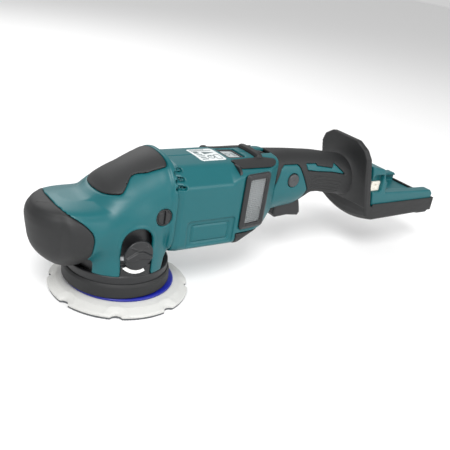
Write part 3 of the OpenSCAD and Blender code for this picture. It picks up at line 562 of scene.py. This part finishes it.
solid("lowerHousing", lowerHousing, [-55, -55, 14], [55, 55, 92], 1.15, "housing", "black_plastic",
    ["lower_housing"])

skirtR = skirtHigh[0]
skirt = softened([(columnR + 0.1, skirtLow[2]), (skirtR - 0.7, skirtLow[2]), (skirtR, skirtLow[2] + 1.6),
    (skirtR - 0.3, skirtHigh[2] - 3), (skirtR - 1.9, skirtHigh[2]),
    (columnR + 0.1, skirtHigh[2])], 1.1)
keep(turned("skirt", skirt, steps=180), "housing", "black_rubber", ["skirt"])


def sidePlug(side):
    def field(x, y, z):
        d = np.hypot(x - plug["x"], z - plug["z"])
        top = 47.6 - 0.012 * d * d
        f = roundBoth(d - plug["r"], np.abs(side * y - top + 3) - 3, 0.9)
        slot = meet(np.abs(x - plug["x"]) - 1.1, np.maximum(45.2 - side * y, d - plug["r"] + 1.2), 0.5)
        ringCut = meet(np.abs(d - plug["r"] + 1.7) - 0.35, 46.2 - side * y, 0.4)
        return meet(meet(f, -slot, 0.5), -ringCut, 0.4)
    return field


for side, name in ((-1, "sidePlugLeft"), (1, "sidePlugRight")):
    low = [plug["x"] - 9, 40 if side > 0 else -49, plug["z"] - 9]
    high = [plug["x"] + 9, 49 if side > 0 else -40, plug["z"] + 9]
    solid(name, sidePlug(side), low, high, 0.5, "housing", "black_plastic",
        ["side_plugs"] if side < 0 else ())


def modeKnob(x, y, z):
    u, v, w = x - knob["x"], z - knob["z"], -y
    d = np.hypot(u, v)
    face = knobLow[1] * -1 - 4.2
    f = roundBoth(d - knob["r"] + 0.25, np.maximum(w - face - 1.6 * (1 - (d / knob["r"]) ** 2), 52 - w), 1.2)
    # grip bar with a wavy top edge, as two wings
    bar = roundBoth(np.abs(v + 0.9 - 2.2 * np.cos(u / 5)) - 4.2 + 0.012 * u * u,
        w - face - 4.0 + 0.008 * u * u, 1.6)
    bar = meet(bar, np.maximum(d - knob["r"] + 1.0, 52.4 - w), 1.5)
    f = unite(f, bar, 1.4)
    wave = meet(np.abs(v - 8.6 + 2.6 * np.cos(u / 4.6)) - 0.8, np.maximum(w - face - 1.4, d - 13.5), 0.8)
    f = unite(f, meet(wave, 52.5 - w, 0.5), 0.8)
    shaft = np.maximum(d - 5.9, np.abs(w - 45) - 8)
    return unite(f, shaft, 0.5)


solid("modeKnob", modeKnob, [knobLow[0], knobLow[1] - 1, knobLow[2]], [knobHigh[0], -36, knobHigh[2]], 0.55,
    "mode_knob", "black_plastic", ["mode_knob"])
print("head made")

# ---- pad ----

pad = {"x": (padLow[0] + padHigh[0]) / 2, "r": (padHigh[0] - padLow[0]) / 2, "notches": 8, "notchR": 6}


def notchField(x, y):
    turn = 2 * math.pi / pad["notches"]
    angle = np.arctan2(y, x - pad["x"])
    nearest = (np.round(angle / turn - 0.4) + 0.4) * turn
    reach = pad["r"] + pad["notchR"] * 0.25
    return np.hypot(x - pad["x"] - reach * np.cos(nearest), y - reach * np.sin(nearest)) - pad["notchR"]


def foamPad(x, y, z):
    d = np.hypot(x - pad["x"], y)
    notch = notchField(x, y)
    top = np.interp(d, [0, 56, 60, 66, pad["r"] - 3, pad["r"]], [9.4, 9.4, 9.2, 8.0, 5.0, 3.6])
    # soft dents run inwards from the notches
    top = top - 1.1 * np.exp(-np.maximum(notch, 0) / 2.2)
    top = top + 0.5 * np.exp(-((notch - 6) / 2.5) ** 2) * (d > 62)
    f = roundBoth(d - pad["r"] + 0.1 + np.maximum(2.6 - z, 0) * 0.5, np.maximum(z - top - 1.6, 1.7 - z),
        1.3)
    f = meet(f, -notch, 1.6)
    return meet(f, -np.maximum(d - 7.8, 3 - z), 0.8)


piece = solid("foamPad", foamPad, [pad["x"] - pad["r"], -pad["r"], 1], [pad["x"] + pad["r"], pad["r"], 12],
    1.0, "pad", "pad_foam", ["foam_pad"])


def hookFace(x, y, z):
    d = np.hypot(x - pad["x"], y)
    f = roundBoth(np.maximum(d - pad["r"] + 0.9, 3.5 - d), np.abs(z - 0.8) - 0.8, 0.4)
    return meet(f, -notchField(x, y) + 0.3, 0.6)


solid("hookFace", hookFace, [pad["x"] - pad["r"], -pad["r"], 0], [pad["x"] + pad["r"], pad["r"], 1.6], 0.9,
    "pad", "hook_nylon", ["hook_face"])

plateR = (plateHigh[0] - plateLow[0]) / 2
plate = softened([(4.4, plateLow[2] + 0.02), (plateR - 0.6, plateLow[2] + 0.02), (plateR, plateLow[2] + 0.8),
    (plateR, plateHigh[2] - 0.9), (plateR - 1.2, plateHigh[2]), (4.4, plateHigh[2])], 0.5)
keep(turned("hubPlate", plate, Matrix.Translation((pad["x"] / 1000, 0, 0)), 180), "pad", "hub_blue",
    ["hub_plate"])
print("pad made")

# ---- motor housing ----

def filterPlane(x, y):
    # place on the filter's sloping face: along it, and out of it
    c, s = math.cos(filterTurn), math.sin(filterTurn)
    along = (x - filterBox["x"]) * c - (np.abs(y) - motor["half"]) * s
    out = (x - filterBox["x"]) * s + (np.abs(y) - motor["half"]) * c
    return along, out


def filterOpening(along, z):
    return roundRect(along, z, -0.4, filterBox["z0"] - 0.4, filterBox["len"] + 0.4, filterBox["z1"] + 0.4, 5)


saddleSide = [(105, 147), (112, 142), (117.5, 138.4), (120, 137), (156, 136.6), (168, 137), (174, 140),
    (176, 152), (105, 152)]
saddlePlan = [(118.5, 50), (112, 22), (116, 19), (149, 17), (149.5, -60), (158, -60), (158.5, 17), (172, 22),
    (178, 47), (178, 50)]
# recess low on each side and the groove in it: x0, z0, x1, z1 and how far out their floors lie
sidePanel = {"outer": (54, 57.5, 113, 87), "floor": 43.9, "inner": (60.5, 62, 107, 81), "grooveFloor": 42.7}
sillSide = [(117, 66), (118, 48), (150, 48), (168, 70), (160, 70), (156, 65)]


def saddleEdge(x, y, z):
    up = meet(polygon(x, z, saddleSide), polygon(x, np.abs(y), saddlePlan), 2)
    return np.minimum(up, polygon(x, z, sillSide))


def motorHalf(side):
    def field(x, y, z):
        f = meet(motorSolid(x, y, z), -motorSolid(x, y, z, np.interp(x, [50, 56], [3.6, 4.4])), 0.8)
        f = meet(f, 0.12 - side * y, 0.9)
        # pressed-in panel low on the side, with a second step inside it
        deep = meet(roundRect(x, z, *sidePanel["outer"], 3), sidePanel["floor"] - np.abs(y), 0.7)
        f = meet(f, -deep, 0.9)
        frameCut = meet(np.abs(roundRect(x, z, *sidePanel["inner"], 2.4)) - 0.9,
            sidePanel["grooveFloor"] - np.abs(y), 0.5)
        f = meet(f, -frameCut, 0.6)
        along, out = filterPlane(x, y)
        cut = meet(filterOpening(along, z), -1 - out, 0.4)
        f = meet(f, -cut, 0.6)
        # label, window and dial
        top = motor["top"]
        f = carved(f, roundRect(x, y, label["x0"], -18, label["x1"], 18, 3), crest(y) - 1 - z, 0.3, 0.4)
        f = carved(f, roundRect(x, y, window["x0"], -14.7, window["x1"], 14.7, 4), top - 6 - z, 0.4, 1.0)
        f = carved(f, roundRect(x, y, dial["x"] - 9, -7.6, dial["x"] + 10, 7.6, 2.5), top - 8 - z, 0.4, 1.4)
        # the black saddle is let in
        saddle = meet(saddleEdge(x, y, z) - 0.35, -motorSolid(x, y, z, 1.9), 0.5)
        f = meet(f, -saddle, 1.0)
        f = meet(f, -louvres(x, y, z), 0.8)
        if side > 0:
            for bx, bz in bosses:
                f = carved(f, np.hypot(x - bx, z - bz) - 3.7, 14 - y, 0.5, 0.8)
        return f
    return field


for side, name, node in ((-1, "motorHousingLeft", "motor_housing_left"),
        (1, "motorHousingRight", "motor_housing_right")):
    low = [motor["x0"], -48 if side < 0 else 0, 51]
    high = [motor["x1"], 0 if side < 0 else 48, 150]
    solid(name, motorHalf(side), low, high, cell, "housing", "teal_plastic", [node])


def saddle(x, y, z):
    f = meet(motorSolid(x, y, z, -0.7), -motorSolid(x, y, z, 1.6), 0.6)
    # the strap over the top stands up as a bump
    strap = meet(np.abs(x - 153.7) - 3.8, np.abs(y) - 20, 3)
    f = unite(f, meet(meet(motorSolid(x, y, z, -4.2), strap, 3.5), -motorSolid(x, y, z, 1.6), 0.6), 1)
    f = meet(f, saddleEdge(x, y, z) + 0.1, 1.4)
    along, out = filterPlane(x, y)
    return carved(f, filterOpening(along, z), -1 - out, 0.4, 0.8)


solid("bridgeStrap", saddle, [94, -48, 50], [178, 48, 151], cell, "housing", "black_rubber", ["bridge_strap"])


def filterCover(side):
    def field(x, y, z):
        along, out = filterPlane(x, y)
        outer = roundRect(along, z, 0.2, filterBox["z0"] + 0.2, filterBox["len"] - 0.2, filterBox["z1"] - 0.2,
            5)
        inner = roundRect(along, z, 7, filterBox["z0"] + 7, filterBox["len"] - 7, filterBox["z1"] - 7, 2.5)
        edge = np.clip(-outer, 0, 4)
        f = roundBoth(outer, np.maximum(out - 1.6 - 0.42 * edge, -0.5 - out), 1.0)
        f = meet(f, -(inner - 0.35 * np.maximum(out - 1, 0)), 0.9)
        step = meet(inner - 2.2, 2.3 - out, 0.4)
        f = meet(f, -step, 0.5)
        return meet(f, 5 - side * y, 1)
    return field


# ---- repeats ----

def repeatTree():
    tree = bpy.data.node_groups.new("repeatPart", "GeometryNodeTree")
    for socket, kind in (("Part", "NodeSocketObject"), ("Count", "NodeSocketInt"),
            ("Step", "NodeSocketVector"),
            ("Turn", "NodeSocketVector"), ("Material", "NodeSocketMaterial")):
        tree.interface.new_socket(socket, in_out="INPUT", socket_type=kind)
    tree.interface.new_socket("Geometry", in_out="OUTPUT", socket_type="NodeSocketGeometry")
    given = addNode(tree, "NodeGroupInput").outputs
    line = addNode(tree, "GeometryNodeMeshLine", {"mode": "OFFSET"},
        {"Count": given["Count"], "Offset": given["Step"]})
    part = addNode(tree, "GeometryNodeObjectInfo", {"transform_space": "ORIGINAL"}, {"Object": given["Part"]})
    number = addNode(tree, "GeometryNodeInputIndex")
    turn = addNode(tree, "ShaderNodeVectorMath", {"operation": "SCALE"},
        {"Vector": given["Turn"], "Scale": number.outputs["Index"]})
    copies = addNode(tree, "GeometryNodeInstanceOnPoints", {},
        {"Points": line.outputs["Mesh"], "Instance": part.outputs["Geometry"],
         "Rotation": turn.outputs["Vector"]})
    real = addNode(tree, "GeometryNodeRealizeInstances", {}, {"Geometry": copies.outputs["Instances"]})
    done = addNode(tree, "GeometryNodeSetMaterial", {},
        {"Geometry": real.outputs["Geometry"], "Material": given["Material"]})
    addNode(tree, "NodeGroupOutput", {}, {"Geometry": done.outputs["Geometry"]})
    return tree


repeats = repeatTree()
sockets = {item.name: item.identifier for item in repeats.interface.items_tree if item.in_out == "INPUT"}


def repeated(name, part, count, step=(0, 0, 0), turn=(0, 0, 0), finish=None, place=None):
    # copies of part, each a step (mm) and a turn (degrees) on from the last, as one plain mesh
    holder = bpy.data.objects.new(name + "Source", bpy.data.meshes.new(name + "Source"))
    bpy.context.scene.collection.objects.link(holder)
    modifier = holder.modifiers.new("repeat", "NODES")
    modifier.node_group = repeats
    modifier[sockets["Part"]] = part
    modifier[sockets["Count"]] = count
    modifier[sockets["Step"]] = [v / 1000 for v in step]
    modifier[sockets["Turn"]] = [math.radians(v) for v in turn]
    modifier[sockets["Material"]] = finish
    bpy.context.view_layer.update()
    ready = holder.evaluated_get(bpy.context.evaluated_depsgraph_get())
    mesh = bpy.data.meshes.new_from_object(ready)
    mesh.name = name
    made = bpy.data.objects.new(name, mesh)
    bpy.context.scene.collection.objects.link(made)
    if place is not None:
        mesh.transform(place)
    bpy.data.objects.remove(holder)
    bpy.data.objects.remove(part)
    return made


def joined(name, parts):
    work = parts[0]
    with bpy.context.temp_override(active_object=work, selected_editable_objects=parts,
            selected_objects=parts):
        bpy.ops.object.join()
    work.name = name
    return work


def rod(name, start, end, r, sides=8):
    # straight wire with eased ends
    start, end = Vector(start), Vector(end)
    length = (end - start).length
    outline = [(0, 0), (r * 0.7, 0), (r, r * 0.4), (r, length - r * 0.4), (r * 0.7, length), (0, length)]
    turn = (end - start).to_track_quat("Z", "Y").to_matrix().to_4x4()
    made = meshObject(name, [(p * math.cos(a), p * math.sin(a), z) for a in
            [2 * math.pi * i / sides for i in range(sides)] for p, z in outline],
        [(i * 6 + k, ((i + 1) % sides) * 6 + k, ((i + 1) % sides) * 6 + k + 1, i * 6 + k + 1)
         for i in range(sides) for k in range(5)])
    made.data.transform(Matrix.Translation(start / 1000) @ turn)
    tidyMesh(made)
    return made


# wire pitch is drawn at 2.3 mm, as fine as still shows
wire = {"r": 0.32, "pitch": 2.3, "out": 1.0}
for side, tag in ((-1, "Left"), (1, "Right")):
    body = "filter_" + tag.lower()
    x0, x1 = filterBox["x"], filterBox["x"] + 38
    low = [x0 - 1, -50 if side < 0 else 33, filterBox["z0"]]
    high = [x1 + 2, -33 if side < 0 else 50, filterBox["z1"]]
    solid("filterCover" + tag, filterCover(side), low, high, 0.9, body, "black_plastic",
        ["filter_cover_" + tag.lower()])
    u0, u1, v0, v1 = 5.8, filterBox["len"] - 5.8, filterBox["z0"] + 5.8, filterBox["z1"] - 5.8
    # the mesh is laid flat on local X (along) and Y (up), then stood on the sloping face
    stand = (Matrix.Translation((filterBox["x"] / 1000, side * motor["half"] / 1000, 0))
        @ Matrix.Rotation(-side * filterTurn, 4, "Z") @ Matrix.Rotation(math.radians(90), 4, "X"))
    outSign = 1 if side < 0 else -1
    upright = rod("wireUp" + tag, (u0, v0, outSign * wire["out"]), (u0, v1, outSign * wire["out"]), wire["r"],
        6)
    level = rod("wireLevel" + tag, (u0, v0, outSign * (wire["out"] + 0.5)),
        (u1, v0, outSign * (wire["out"] + 0.5)), wire["r"], 6)
    ups = repeated("wiresUp" + tag, upright, int((u1 - u0) / wire["pitch"]) + 1, (wire["pitch"], 0, 0),
        finish=finishes["steel"], place=stand)
    levels = repeated("wiresLevel" + tag, level, int((v1 - v0) / wire["pitch"]) + 1, (0, wire["pitch"], 0),
        finish=finishes["steel"], place=stand)
    grid = joined("filterMesh" + tag, [ups, levels])
    keep(grid, body, "steel", ["filter_mesh_" + tag.lower()])

    def cloth(x, y, z):
        along, out = filterPlane(x, y)
        sheet = roundRect(along, z, 5, filterBox["z0"] + 5, filterBox["len"] - 5, filterBox["z1"] - 5, 3)
        wave = 0.12 * np.sin(along * 2.7) * np.sin(z * 2.7)
        return np.maximum(roundBoth(sheet, np.abs(out - 0.1 - wave) - 0.55, 0.3), 5 - side * y)

    solid("filterCloth" + tag, cloth, low, high, 0.8, body, "steel", finish=meshCloth)
print("motor housing made")

# ---- top of the motor housing ----

top = motor["top"]


def labelPlate(x, y, z):
    return roundBoth(roundRect(x, y, label["x0"] + 0.3, -label["half"], label["x1"] - 0.3, label["half"],
            2.6),
        np.abs(z - crest(y) + 0.8) - 0.75, 0.2)


solid("labelPlate", labelPlate, [label["x0"], -18, top - 3], [label["x1"], 18, top], 0.5, "housing",
    "label_film", ["label_plate"])


def labelMarks(x, y, z):
    # generic pictograms: bars, a disc with a spoke, a wedge
    marks = 99
    for i in range(4):
        marks = np.minimum(marks, roundRect(x, y, 82, -15 + 4.2 * i, 90 - 0.8 * (i % 2), -13 + 4.2 * i, 0.5))
    marks = np.minimum(marks, np.abs(np.hypot(x - 96, y + 9) - 3.8) - 0.7)
    marks = np.minimum(marks, roundRect(x, y, 95.3, -9.5, 96.7, -5, 0.4))
    marks = np.minimum(marks, polygon(x, y, [(92, -1), (107, 3), (92, 7)]))
    marks = np.minimum(marks, roundRect(x, y, 82, 2, 88, 8, 0.5))
    marks = np.minimum(marks, roundRect(x, y, 82, 9.6, 107, 11.2, 0.5))
    marks = np.minimum(marks, roundRect(x, y, 82, 13, 100, 14.6, 0.5))
    marks = np.minimum(marks, np.abs(roundRect(x, y, 101, -15, 107.5, -4, 1)) - 0.5)
    return np.maximum(marks, np.abs(z - crest(y) + 0.45) - 0.55)


solid("labelMarks", labelMarks, [label["x0"], -18, top - 2], [label["x1"], 18, top + 0.2], 0.4, "housing",
    "label_film", finish=labelInk)


def windowFrame(x, y, z):
    slope = top - window["drop"] / 2 - window["fall"] * (x - window["x0"])
    outer = roundRect(x, y, window["x0"] + 0.3, -window["half"], window["x1"] - 0.3, window["half"], 3.8)
    f = roundBoth(outer, np.maximum(z - slope, top - 5.6 - z), 0.7)
    inner = roundRect(x, y, window["x0"] + 3.2, -11, window["x1"] - 3.2, 11, 2.6)
    return carved(f, inner, slope - 1.6 - z, 0.4, 0.6)


solid("windowFrame", windowFrame, [window["x0"], -15, top - 6], [window["x1"], 15, top], 0.6, "housing",
    "black_plastic")


def windowLens(x, y, z):
    slope = top - window["drop"] - window["fall"] * (x - window["x0"])
    inner = roundRect(x, y, window["x0"] + window["lensIn"], -window["lensHalf"],
        window["x1"] - window["lensIn"], window["lensHalf"], 2.4)
    return roundBoth(inner, np.abs(z - slope + 0.9) - 0.9, 0.4)


solid("windowLens", windowLens, [window["x0"], -11, top - 6], [window["x1"], 11, top], 0.5, "housing",
    "lens_plastic", ["window_lens"])


def lensMarks(x, y, z):
    slope = top - window["drop"] - window["fall"] * (x - window["x0"])
    marks = np.abs(np.hypot(x - 123, y) - 2.8) - 0.6
    for i in range(3):
        marks = np.minimum(marks, roundRect(x, y, 128.5, -5.4 + 4 * i, 133.5, -3.4 + 4 * i, 0.6))
    return np.maximum(marks, np.abs(z - slope + 0.4) - 0.52)


solid("lensMarks", lensMarks, [window["x0"], -10, top - 5], [window["x1"], 10, top], 0.4, "housing",
    "lens_plastic", finish=labelInk)

# dial: a drum with knurled teeth, each tooth a small rounded bar
drum = softened([(2.1, -dial["half"] + 0.1), (dial["r"] - 1.3, -dial["half"] + 0.1),
    (dial["r"] - 1.1, -dial["half"] + 1),
    (dial["r"] - 1.1, dial["half"] - 1), (dial["r"] - 1.3, dial["half"] - 0.1),
    (2.1, dial["half"] - 0.1)], 0.4)
drum = turned("dialDrum", drum, steps=96)
tooth = rod("dialTooth", (dial["r"] - 1.0, 0, -dial["half"] + 0.5), (dial["r"] - 1.0, 0, dial["half"] - 0.5),
    0.62, 8)
teeth = repeated("dialTeeth", tooth, 36, turn=(0, 0, 10), finish=finishes["black_plastic"])
dialPiece = joined("speedDial", [drum, teeth])
dialPiece.data.transform(alongY(dial["x"], 0, dial["z"]))
keep(dialPiece, "speed_dial", "black_plastic", ["speed_dial"])
print("top details made")

# ---- handle ----

neckX = motor["x1"]
guardSlope = 0.245
guardFront = guardLow[0]
handle = {
    "top": [(178, 143), (208, 142.5), (228, 141), (250, 139), (270, 136), (288, 133.5), (312, 130)],
    "bottom": [(178, 72), (200, 73.5), (222, 76), (234, 82), (244, 87), (256, 88), (275, 85), (312, 79)],
    "halfWidth": [(178, 25), (210, 25), (235, 24), (255, 23.2), (280, 24), (312, 25)],
    "power": [(178, 3), (200, 2.4), (230, 2.2), (312, 2.2)],
}
panel = [(172, 74), (176, 100), (186, 128), (190, 131.5), (211, 130.5), (215, 127), (223, 112), (231, 99),
    (230, 88), (219, 77), (212, 72), (208, 60), (172, 60)]
arrow = [(225, 130.3), (240, 129.6), (242, 127), (267, 122.8), (271, 127.8), (287.5, 114.9), (267, 118.7),
    (243, 121), (227, 123.4)]
rib = {"pitch": 4.4, "depth": 1.1, "round": 24.5}
ribArea = [(229, 119), (284, 110), (287, 82), (246, 84), (234, 94)]
triggerSlot = {"x0": 191, "x1": 243, "half": 12, "top": 94}
button = {"x": (buttonLow[0] + buttonHigh[0]) / 2, "z": (buttonLow[2] + buttonHigh[2]) / 2,
    "r": (buttonHigh[0] - buttonLow[0]) / 2, "out": -buttonLow[1]}


def guardFace(z):
    return guardFront + (guardHigh[2] - z) * guardSlope


def handleSolid(x, y, z, o=0.0):
    f = loft(y, z, curve(x, handle["halfWidth"]) - o, curve(x, handle["bottom"]) + o,
        curve(x, handle["top"]) - o, curve(x, handle["power"]))
    f = meet(f, neckX + 0.2 - x, 1.2)
    return meet(f, (x - guardFace(z) + 0.3) * 0.97, 1)


def handleCuts(f, x, y, z):
    slot = meet(roundRect(x, y, triggerSlot["x0"], -12, triggerSlot["x1"], 12, 2), z - triggerSlot["top"], 1)
    f = meet(f, -slot, 0.9)
    hole = meet(np.hypot(x - button["x"], z - button["z"]) - button["r"] - 0.35, y, 1)
    return meet(f, -hole, 0.9)


def handleShell(side):
    def field(x, y, z):
        surface = unite(meet(handleSolid(x, y, z, 0), polygon(x, z, panel), 1.4),
            meet(handleSolid(x, y, z, 0), polygon(x, z, arrow) - 0.1, 1), 0.5)
        f = unite(surface, handleSolid(x, y, z, 4.3), 0.5)
        f = meet(f, -handleSolid(x, y, z, 7), 0.6)
        f = meet(f, 0.1 - side * y, 0.8)
        return handleCuts(f, x, y, z)
    return field


for side, name, node in ((-1, "handleShellLeft", "handle_shell_left"),
        (1, "handleShellRight", "handle_shell_right")):
    low = [neckX, -26 if side < 0 else 0, 71]
    high = [316, 0 if side < 0 else 26, 148]
    solid(name, handleShell(side), low, high, cell, "housing", "teal_plastic", [node])


def handleGrip(x, y, z):
    f = meet(handleSolid(x, y, z, -0.5), -handleSolid(x, y, z, 3.9), 0.8)
    f = meet(f, -(polygon(x, z, panel) - 0.4), 1.4)
    f = carved(f, polygon(x, z, arrow) - 0.5, 12 - np.abs(y), 1, 1)
    # ribs run along the handle, evenly spaced round its section
    centre = (curve(x, handle["top"]) + curve(x, handle["bottom"])) / 2
    around = np.arctan2(z - centre, np.abs(y)) * rib["round"]
    area = np.clip(-polygon(x, z, ribArea) / 2, 0, 1)
    f = f + rib["depth"] / 2 * area * (1 + np.cos(around * 2 * math.pi / rib["pitch"]))
    return handleCuts(f, x, y, z)


solid("handleGrip", handleGrip, [neckX, -27, 70], [318, 27, 149], cell, "housing", "black_rubber",
    ["handle_grip"])

buttonProfile = softened([(0.0, -10), (button["r"] - 0.2, -10), (button["r"] - 0.2, -0.9),
    (button["r"] - 1.3, 0.1), (button["r"] - 3.2, 0.0), (0.0, -0.9)], 0.7)
piece = turned("lockButton", buttonProfile, alongY(button["x"], -button["out"] + 0.2, button["z"]), 72)
keep(piece, "lock_button", "grey_plastic", ["lock_button"])

triggerLow, triggerHigh = boxMm("trigger")


def trigger(x, y, z):
    x0 = triggerLow[0]
    outline = [(x0 + 0.4, 65), (x0 + 4, 60.4), (x0 + 22, 61.6), (x0 + 40, 59.4), (x0 + 42.6, 64),
        (x0 + 39.6, 75), (x0 + 36, 84), (x0 + 2, 84), (x0 + 0.4, 78)]
    f = roundBoth(polygon(x, z, outline), np.abs(y) - 10.8, 2.4)
    pinHole = np.hypot(x - x0 - 4, z - 86) - 2.1
    return meet(f, -pinHole, 0.4)


solid("trigger", trigger, triggerLow, triggerHigh, 0.8, "trigger", "black_plastic", ["trigger"])
print("handle made")

# ---- guard and battery mount ----

trayEnd = mountHigh[0]
gx = guardLow[0] - 3
guardOutline = [(guardFace(74), 74), (guardFront + 0.2, guardHigh[2] - 0.2),
    (guardFront + 8.6, guardHigh[2] - 0.2),
    (gx + 34.6, 76), (gx + 46.4, 62.4), (trayEnd - 4, 66), (trayEnd + 3.4, 66.2),
    (trayEnd + 3.4, 56.6),
    (trayEnd - 4, 47.2), (trayEnd - 20, 47.2), (trayEnd - 24, 48.6), (gx + 44, 47.4),
    (gx + 34.5, 49.6), (gx + 28.6, 55), (gx + 25.6, 63)]
# half width, drop of the underside, and the handle's section where the plate swells out to meet it
guard = {"half": 42, "sag": 8, "swell": 9, "neckY": 25, "neckZ": 27, "neckMiddle": 105}
lipOutline = [(gx + 36, 62), (gx + 38, 77), (trayEnd + 3.3, 76), (trayEnd + 3.3, 58), (gx + 46, 58)]


def rearGuard(x, y, z):
    half = guard["half"]
    front = polygon(y, z, [(-half, 20), (half, 20), (half, 138), (36, 149), (22, 157.8), (-22, 157.8),
        (-36, 149), (-half, 138)])
    # the underside hangs lower along the middle
    sag = guard["sag"] * (y / guard["half"]) ** 2 * np.clip((76 - z) / 16, 0, 1)
    f = roundBoth(polygon(x, z - sag, guardOutline), front, 3.2)
    # the plate swells out towards the handle
    away = np.maximum(np.hypot(y / guard["neckY"], (z - guard["neckMiddle"]) / guard["neckZ"]) - 1, 0) * 26
    face = guardFace(z) - guard["swell"] * np.exp(-away / 7)
    swell = np.maximum(np.maximum(face - x, x - guardFace(z) - 3) * 0.9, np.maximum(front + 1, 74 - z))
    f = unite(f, swell, 1.5)
    # rubber lip round the tray
    lip = meet(polygon(x, z, lipOutline), np.abs(y) - 41.9, 0.8)
    lip = meet(lip, -meet(np.abs(y) - 40, np.maximum(x - trayEnd - 0.3, 64 - z), 0.3), 0.3)
    return unite(f, lip, 0.6)


solid("rearGuard", rearGuard, guardLow, guardHigh, 1.1, "housing", "black_rubber", ["rear_guard"])

rail = {"z": 74, "half": 31, "lip": 27, "top": 83}


def batteryMount(x, y, z):
    outline = [(gx + 38, 75), (gx + 47.4, 64.4), (trayEnd - 4, 66.4), (trayEnd - 0.2, 70),
        (trayEnd - 0.2, 82),
        (trayEnd - 5, 86.8), (gx + 58, 90.8), (gx + 50, 119), (gx + 47, 123), (gx + 24.6, 127.6)]
    f = roundBoth(polygon(x, z, outline), np.abs(y) - 39.8, 1.5)
    f = carved(f, roundRect(x, y, gx + 52, -rail["lip"], 600, rail["lip"], 2), rail["z"] - z, 0.5, 0.9)
    slot = roundRect(y, z, -rail["half"], rail["z"], rail["half"], rail["top"], 1)
    f = carved(f, slot, gx + 52 - x, 0.5, 0.7)
    # windows and the middle channel of the upright
    for s in (-1, 1):
        opening = roundRect(y, z, s * 22 - 5, 96, s * 22 + 5, 118, 2)
        f = carved(f, opening, gx + 20 - x, 1, 0.8)
    f = carved(f, roundRect(y, z, -8, 90, 8, 150, 2), gx + 20 - x, 1, 0.8)
    # window in each side of the upright
    recess = meet(roundRect(x, z, gx + 30, 93, gx + 48.6, 116, 2), 33 - np.abs(y), 0.5)
    f = meet(f, -recess, 0.7)
    # posts that guide the battery's latch
    for s in (-1, 1):
        post = roundBoth(roundRect(x, y, gx + 49, s * 33 - 3.5, gx + 62, s * 33 + 3.5, 2),
            np.abs(z - 90) - 14, 1.5)
        f = unite(f, post, 1.5)
    return f


solid("batteryMount", batteryMount, mountLow, mountHigh, 1.3, "housing", "teal_plastic", ["battery_mount"])


def bayPlate(x, y, z):
    # pale moulding seen in the upright's windows
    f = roundBoth(roundRect(x, z, gx + 33, 93.2, gx + 48.4, 106, 1.2), np.abs(np.abs(y) - 34) - 1.6, 0.7)
    return carved(f, np.hypot(x - gx - 41, z - 100) - 2.2, 34 - np.abs(y), 0.4, 0.4)


solid("bayPlate", bayPlate, [gx + 32, -36, 92], [gx + 50, 36, 107], 0.8, "housing", "gear_nylon")
blockLow, blockHigh = boxMm("terminal_block")


def terminalBlock(x, y, z):
    x0, z0 = blockLow[0], blockLow[2]
    f = roundBoth(roundRect(x, y, x0 + 0.1, blockLow[1] + 0.1, blockHigh[0] - 0.1, blockHigh[1] - 0.1, 2),
        np.abs(z - z0 - 6) - 5.9, 0.9)
    for y0, y1, depth in ((8, 12, 6), (22, 30, 4), (42, 46, 6)):
        cut = roundRect(x, y, x0 + 6, blockLow[1] + y0, x0 + 60, blockLow[1] + y1, 0.6)
        f = carved(f, cut, z0 + depth - z, 0.3, 0.5)
    return f


solid("terminalBlock", terminalBlock, blockLow, blockHigh, 0.7, "housing", "black_plastic",
    ["terminal_block"])
print("rear made")

# ---- stage, light and camera ----

floorMaterial = material("paleFloor", {"colour": "#f2f2f2", "roughness": 0.8, "bump": 0.0, "shade": 0.99})
floor = meshObject("floor", [(-6000, -6000, 0), (6000, -6000, 0), (6000, 6000, 0), (-6000, 6000, 0)],
    [(0, 1, 2, 3)])
floor.data.transform(Matrix.Translation((0, 0, -0.0002)))
floor.data.materials.append(floorMaterial)

world = bpy.data.worlds.new("studio")
world.use_nodes = True
world.node_tree.nodes["Background"].inputs["Color"].default_value = (1, 1, 1, 1)
world.node_tree.nodes["Background"].inputs["Strength"].default_value = 0.62
bpy.context.scene.world = world


def softLight(name, place, target, size, power):
    lamp = bpy.data.lights.new(name, "AREA")
    lamp.shape = "DISK"
    lamp.size = size
    lamp.energy = power
    thing = bpy.data.objects.new(name, lamp)
    thing.location = place
    thing.rotation_euler = (Vector(place) - Vector(target)).to_track_quat("Z", "Y").to_euler()
    bpy.context.scene.collection.objects.link(thing)


middle = (0.15, 0, 0.08)
softLight("keyLight", (-0.7, -1.0, 1.5), middle, 0.9, 32)
softLight("sideLight", (1.1, -1.5, 0.9), middle, 1.2, 14)
softLight("backLight", (0.2, 1.4, 1.2), middle, 1.0, 10)

bpy.context.scene.view_settings.view_transform = "Standard"

# the camera's angles in degrees, and in mm its distance and its place across and above the pad's centre
view = {"azimuth": -37.5, "elevation": 23.5, "roll": 9.4, "distance": 712.5, "across": 119.8, "above": 63.3,
    "lens": 52.8}
az, el, roll = (math.radians(view[k]) for k in ("azimuth", "elevation", "roll"))
right = Vector((math.cos(az), math.sin(az), 0))
up = Vector((-math.sin(az) * math.sin(el), math.cos(az) * math.sin(el), math.cos(el)))
back = Vector((math.sin(az) * math.cos(el), -math.cos(az) * math.cos(el), math.sin(el)))
right, up = right * math.cos(roll) + up * math.sin(roll), up * math.cos(roll) - right * math.sin(roll)
cameraData = bpy.data.cameras.new("camera")
cameraData.lens = view["lens"]
cameraData.sensor_width = 36
cameraData.clip_end = 20
camera = bpy.data.objects.new("camera", cameraData)
bpy.context.scene.collection.objects.link(camera)
bpy.context.scene.camera = camera
place = (right * view["across"] + up * view["above"] + back * view["distance"]) / 1000
camera.matrix_world = Matrix.Translation(place) @ Matrix((
    (right.x, up.x, back.x, 0), (right.y, up.y, back.y, 0), (right.z, up.z, back.z, 0), (0, 0, 0, 1)))
